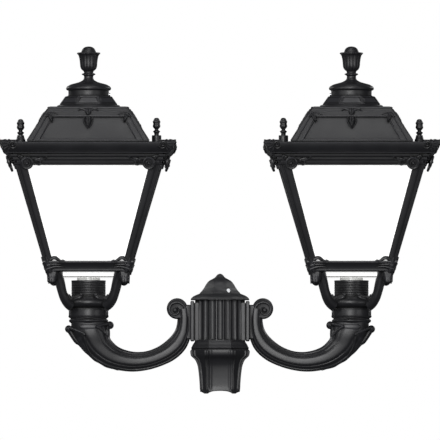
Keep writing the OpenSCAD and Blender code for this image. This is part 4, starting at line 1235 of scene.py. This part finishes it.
def finial_shape(s):
    """Stem, beaded ring, petalled urn with a flared rim and a domed lid."""
    z = FINIAL_Z
    k = (CROWN_Z - FINIAL_Z) / 61
    petals = s.petals

    def shaped(r, h, angles):
        t = (h - z) / k
        wave = np.abs(np.cos(petals * angles / 2))
        if 17.2 < t < 47:
            deep = float(ease(17.2, 21, t) * (1 - ease(45.5, 47, t)))
            r = r * (1 - deep * (0.055 + 0.05 * (1 - float(ease(20, 30, t)))) * (1 - wave) ** 1.6)
        elif 47 <= t < 50.4:
            r = r * (1 + 0.022 * np.cos(8 * angles))
        return r + 0 * angles

    rows = smooth([(13.6, 0.05), (11.6, 1.0), (9.6, 2.6), (8.4, 5.2), (8.1, 8.6), (8.6, 9.6)], 3).tolist()
    rows += smooth([(9.2, 10.4), (10.6, 11.0), (11.0, 12.2), (10.4, 13.4), (8.6, 14.2), (8.2, 15.6), (8.6, 17.2),
                    (10.4, 18.8), (12.6, 21), (14.2, 24), (14.9, 28), (15.3, 33), (15.9, 38), (16.7, 42), (17.6, 45),
                    (18.9, 47), (20.0, 48.2), (19.9, 49.5), (18.6, 50.3), (15.4, 50.5), (12.9, 50.3), (12.8, 51.3),
                    (12.6, 52.6), (11.9, 53.4), (11.9, 54.2), (10.8, 56.3), (8.8, 58.4), (5.8, 60.1), (2.8, 60.8),
                    (0.2, 61)], 2).tolist()
    profile = [(0.2, z - 16), (4, z - 16), (4, z)] + [(r, z + t * k) for r, t in rows]
    shape = Shape(lathe(profile, petals * 16, shaped))
    bead = dome(1.5, 1.3, 10, 3, 0.6)
    for i in range(14):
        a = 2 * math.pi * i / 14
        out = np.array([math.cos(a), math.sin(a), 0])
        shape.add(placed(bead, out * 10.5 + Z * (z + 12.2 * k), np.cross(Z, out), Z, out))
    return shape


def knob_shape(s, x, lift):
    """Stud, collar and a lobed bulb."""
    seat = KNOB_TOP - KNOB_BULB
    lobes = s.lobes

    def shaped(r, z, angles):
        t = z - seat - lift
        if 8 < t < 26.5:
            deep = float(ease(8, 11, t) * (1 - ease(24, 26.5, t)))
            r = r * (1 - 0.11 * deep * (1 - np.abs(np.cos(lobes * angles / 2))) ** 1.2)
        return r + 0 * angles

    bulb = smooth([(4.2, 1.2), (5.2, 2.6), (6.0, 3.6), (6.0, 4.8), (4.4, 5.8), (3.3, 7.0), (3.3, 8.0), (4.8, 9.8),
                   (6.4, 12.2), (6.7, 14.2), (6.1, 16.4), (5.9, 18.2), (6.6, 20.2), (6.7, 21.6), (5.6, 23.4),
                   (4.9, 25.0), (4.2, 26.6), (2.2, 27.9), (0.1, KNOB_BULB)], 3)
    stud = [(0.1, KNOB_Z), (2.8, KNOB_Z), (3, KNOB_Z + 0.6), (3, seat), (4, seat + 0.05), (4, seat + 0.6)]
    return placed(lathe(stud + raised(bulb, seat + lift), lobes * 10, shaped), (x, 0, 0))


# ---- operators ------------------------------------------------------------------------------------


def cut_out(target, shape):
    """Cuts a shape out of an object and keeps the result as its mesh."""
    points, faces = shape.part()
    mesh = bpy.data.meshes.new("cutter")
    mesh.from_pydata((points * MM).tolist(), [], faces)
    work = bmesh.new()
    work.from_mesh(mesh)
    bmesh.ops.recalc_face_normals(work, faces=work.faces)
    work.to_mesh(mesh)
    work.free()
    tool = bpy.data.objects.new("cutter", mesh)
    bpy.context.scene.collection.objects.link(tool)
    cut = target.modifiers.new("cut", "BOOLEAN")
    cut.operation, cut.solver, cut.object = "DIFFERENCE", "EXACT", tool
    target.modifiers.move(len(target.modifiers) - 1, 0)
    soft = [m for m in target.modifiers if m.type == "BEVEL"]
    for m in soft:
        m.show_viewport = False
    bpy.context.view_layer.update()
    result = bpy.data.meshes.new_from_object(target.evaluated_get(bpy.context.evaluated_depsgraph_get()))
    target.modifiers.remove(cut)
    for m in soft:
        m.show_viewport = True
    target.data = result
    bpy.data.objects.remove(tool)


class LANTERN_OT_hub(bpy.types.Operator):
    """Builds the capital, the fluted drum and its cap"""

    bl_idname = "lantern.hub"
    bl_label = "Capital and hub"

    def execute(self, context):
        s = context.scene.lantern_hub
        as_object("capital_casting", capital_shape(s), "bracket", ["post_capital"], sharp=50)
        as_object("fluted_drum", drum_shape(s), "bracket", ["hub_drum"], sharp=30)
        cap = as_object("hub_cap_casting", cap_shape(), "bracket", ["hub_cap"], sharp=38, bevel=0.5)
        holes, bosses = Shape(), Shape()
        for azimuth in CAP_SCREW_AZIMUTHS:
            hole = lathe([(4.3, 29.2), (4.3, 52)], 28)
            tube = lathe([(2.4, 21.4), (5.2, 21.4), (5.2, 29.4), (2.4, 29.4)], 28, closed=True)
            for made, part in ((holes, hole), (bosses, tube)):
                made.add(turned(placed(part, (0, 0, CAP_SCREW_Z), Y, Z, X), azimuth))
        cut_out(cap, holes)
        as_object("hub_cap_bosses", bosses, "bracket", sharp=40)
        return {"FINISHED"}


class LANTERN_OT_arms(bpy.types.Operator):
    """Builds the two scrolled arms"""

    bl_idname = "lantern.arms"
    bl_label = "Scrolled arms"

    def execute(self, context):
        shape = arm_shape(context.scene.lantern_arm)
        on_both("scrolled_arm", shape, "bracket", "arm", shift=(0, 0, 0), sharp=40)
        return {"FINISHED"}


class LANTERN_OT_cages(bpy.types.Operator):
    """Builds the cradles and the lantern cages"""

    bl_idname = "lantern.cages"
    bl_label = "Cradles and cages"

    def execute(self, context):
        s = context.scene.lantern_cage
        on_both("cradle_casting", cradle_shape(s), "lantern", "cradle", sharp=42)
        on_both("cage_casting", cage_shape(s), "lantern", "cage", sharp=36)
        rim = flat_sided(raised([(44.0, -0.2), (46.2, -0.2), (46.2, 0.9), (44.0, 0.9)], DIFFUSER_Z))
        on_both("diffuser_seal", rim, "lantern", slot="black_rubber")
        return {"FINISHED"}


class LANTERN_OT_roofs(bpy.types.Operator):
    """Builds the roofs, vent rings, chimney caps and finials"""

    bl_idname = "lantern.roofs"
    bl_label = "Roofs and finials"

    def execute(self, context):
        s = context.scene.lantern_roof
        on_both("roof_casting", roof_shape(s), "roof", "roof_cover", sharp=34)
        on_both("vent_casting", vent_shape(), "roof", "vent_ring", sharp=34)
        on_both("chimney_casting", chimney_shape(), "roof", "chimney_cap", sharp=40)
        on_both("finial_casting", finial_shape(s), "roof", "finial", sharp=46)
        return {"FINISHED"}


class LANTERN_OT_knobs(bpy.types.Operator):
    """Builds the thumb knobs that hold the roofs down"""

    bl_idname = "lantern.knobs"
    bl_label = "Thumb knobs"

    def execute(self, context):
        s = context.scene.lantern_roof
        for name, x, lift in (("outer_knob", KNOB_X, 0.0), ("inner_knob", -KNOB_X, KNOB_LIFT)):
            on_both(f"{name}_casting", knob_shape(s, x, lift), name, name, sharp=46)
        return {"FINISHED"}


class LANTERN_OT_frame_finish(bpy.types.Operator):
    """Gives the frame's own parts their finishes"""

    bl_idname = "lantern.frame_finish"
    bl_label = "Frame finishes"

    def execute(self, context):
        slots = {p["node"]: p["material_slot"] for p in FRAME["record"]["subparts"]}
        for node, made in FRAME["nodes"].items():
            paint = finish(slots[node])
            made.data.materials.clear()
            made.data.materials.append(paint)
        return {"FINISHED"}


# metres, but for the sensor's millimetres
VIEW_CENTRE = Vector((0, 0, 0.3036))
FLOOR_Z, FLOOR_RADIUS = -0.6, 8
SENSOR = 36.0
LIGHTS = (
    # name, place, size, watts
    ("front", (-0.5, -4.6, 1.0), 2.4, 128.0),
    ("left", (-3.0, -2.6, 1.6), 1.2, 26.0),
    ("right", (3.0, -2.8, 0.2), 1.0, 14.0),
    ("top", (0.0, -0.9, 3.2), 1.6, 16.0),
    ("back_left", (-2.6, 2.8, 1.6), 1.2, 16.0),
    ("back_right", (2.6, 2.8, 1.6), 1.2, 16.0),
)


class LANTERN_OT_stage(bpy.types.Operator):
    """Sets the pale floor, the soft lights and the camera"""

    bl_idname = "lantern.stage"
    bl_label = "Stage"

    def execute(self, context):
        s = context.scene.lantern_stage
        scene = context.scene
        ground = Paint("pale_floor")
        cloth = ground.noise(3.0, 1.0)
        ground.skin_is(
            Base_Color=ground.mix(cloth, grey(0.80), grey(0.83)),
            Roughness=0.9,
            Emission_Color=(1.0, 1.0, 1.0, 1.0),
            Emission_Strength=0.55,
        )
        mesh = bpy.data.meshes.new("floor")
        work = bmesh.new()
        bmesh.ops.create_circle(work, cap_ends=True, segments=96, radius=FLOOR_RADIUS)
        work.to_mesh(mesh)
        work.free()
        mesh.materials.append(ground.material)
        floor = bpy.data.objects.new("floor", mesh)
        floor.location = (0, 0, FLOOR_Z)
        floor.visible_diffuse = floor.visible_glossy = False
        scene.collection.objects.link(floor)
        self.world(scene)
        for name, place, size, power in LIGHTS:
            lamp = bpy.data.lights.new(name, "AREA")
            lamp.shape, lamp.size, lamp.energy = "DISK", size, power
            made = bpy.data.objects.new(name, lamp)
            made.location = place
            made.visible_camera = False
            made.rotation_mode = "QUATERNION"
            made.rotation_quaternion = (VIEW_CENTRE - Vector(place)).to_track_quat("-Z", "Y")
            scene.collection.objects.link(made)
        lens = bpy.data.cameras.new("view")
        lens.sensor_width = SENSOR
        lens.lens = SENSOR * s.distance / s.view_width
        lens.clip_start, lens.clip_end = 0.5, 200.0
        camera = bpy.data.objects.new("view", lens)
        back = Vector((0, -math.cos(s.elevation), math.sin(s.elevation)))
        camera.location = VIEW_CENTRE + back * s.distance
        camera.rotation_mode = "QUATERNION"
        camera.rotation_quaternion = (-back).to_track_quat("-Z", "Y")
        scene.collection.objects.link(camera)
        scene.camera = camera
        scene.view_settings.view_transform = "Standard"
        return {"FINISHED"}

    def world(self, scene):
        """White to look at and dimmer as a light, as in a studio with a lit backcloth."""
        world = bpy.data.worlds.new("studio")
        world.use_nodes = True
        tree = world.node_tree
        tree.nodes.clear()
        out = tree.nodes.new("ShaderNodeOutputWorld")
        seen, lit = tree.nodes.new("ShaderNodeBackground"), tree.nodes.new("ShaderNodeBackground")
        seen.inputs["Color"].default_value = (1, 1, 1, 1)
        seen.inputs["Strength"].default_value = 1.0
        lit.inputs["Color"].default_value = (0.93, 0.96, 1.0, 1)
        lit.inputs["Strength"].default_value = 0.08
        path = tree.nodes.new("ShaderNodeLightPath")
        join = tree.nodes.new("ShaderNodeMixShader")
        tree.links.new(path.outputs["Is Camera Ray"], join.inputs[0])
        tree.links.new(lit.outputs[0], join.inputs[1])
        tree.links.new(seen.outputs[0], join.inputs[2])
        tree.links.new(join.outputs[0], out.inputs[0])
        scene.world = world


class LANTERN_PT_panel(bpy.types.Panel):
    """Lists the pieces that can be built"""

    bl_idname = "LANTERN_PT_panel"
    bl_label = "Twin lantern"
    bl_space_type = "VIEW_3D"
    bl_region_type = "UI"
    bl_category = "Lantern"

    def draw(self, context):
        for operator in OPERATORS:
            self.layout.operator(operator.bl_idname)


SETTINGS = {
    "lantern_hub": LanternHubSettings,
    "lantern_arm": LanternArmSettings,
    "lantern_cage": LanternCageSettings,
    "lantern_roof": LanternRoofSettings,
    "lantern_finish": LanternFinishSettings,
    "lantern_stage": LanternStageSettings,
}
OPERATORS = (
    LANTERN_OT_hub,
    LANTERN_OT_arms,
    LANTERN_OT_cages,
    LANTERN_OT_roofs,
    LANTERN_OT_knobs,
    LANTERN_OT_frame_finish,
    LANTERN_OT_stage,
)


def register():
    for made in (*SETTINGS.values(), *OPERATORS, LANTERN_PT_panel):
        bpy.utils.register_class(made)
    for name, group in SETTINGS.items():
        setattr(bpy.types.Scene, name, bpy.props.PointerProperty(type=group))


def unregister():
    for name in SETTINGS:
        delattr(bpy.types.Scene, name)
    for made in (LANTERN_PT_panel, *reversed(OPERATORS), *reversed(SETTINGS.values())):
        bpy.utils.unregister_class(made)


def main():
    register()
    for operator in OPERATORS:
        area, name = operator.bl_idname.split(".")
        getattr(getattr(bpy.ops, area), name)()


if __name__ == "__main__":
    main()
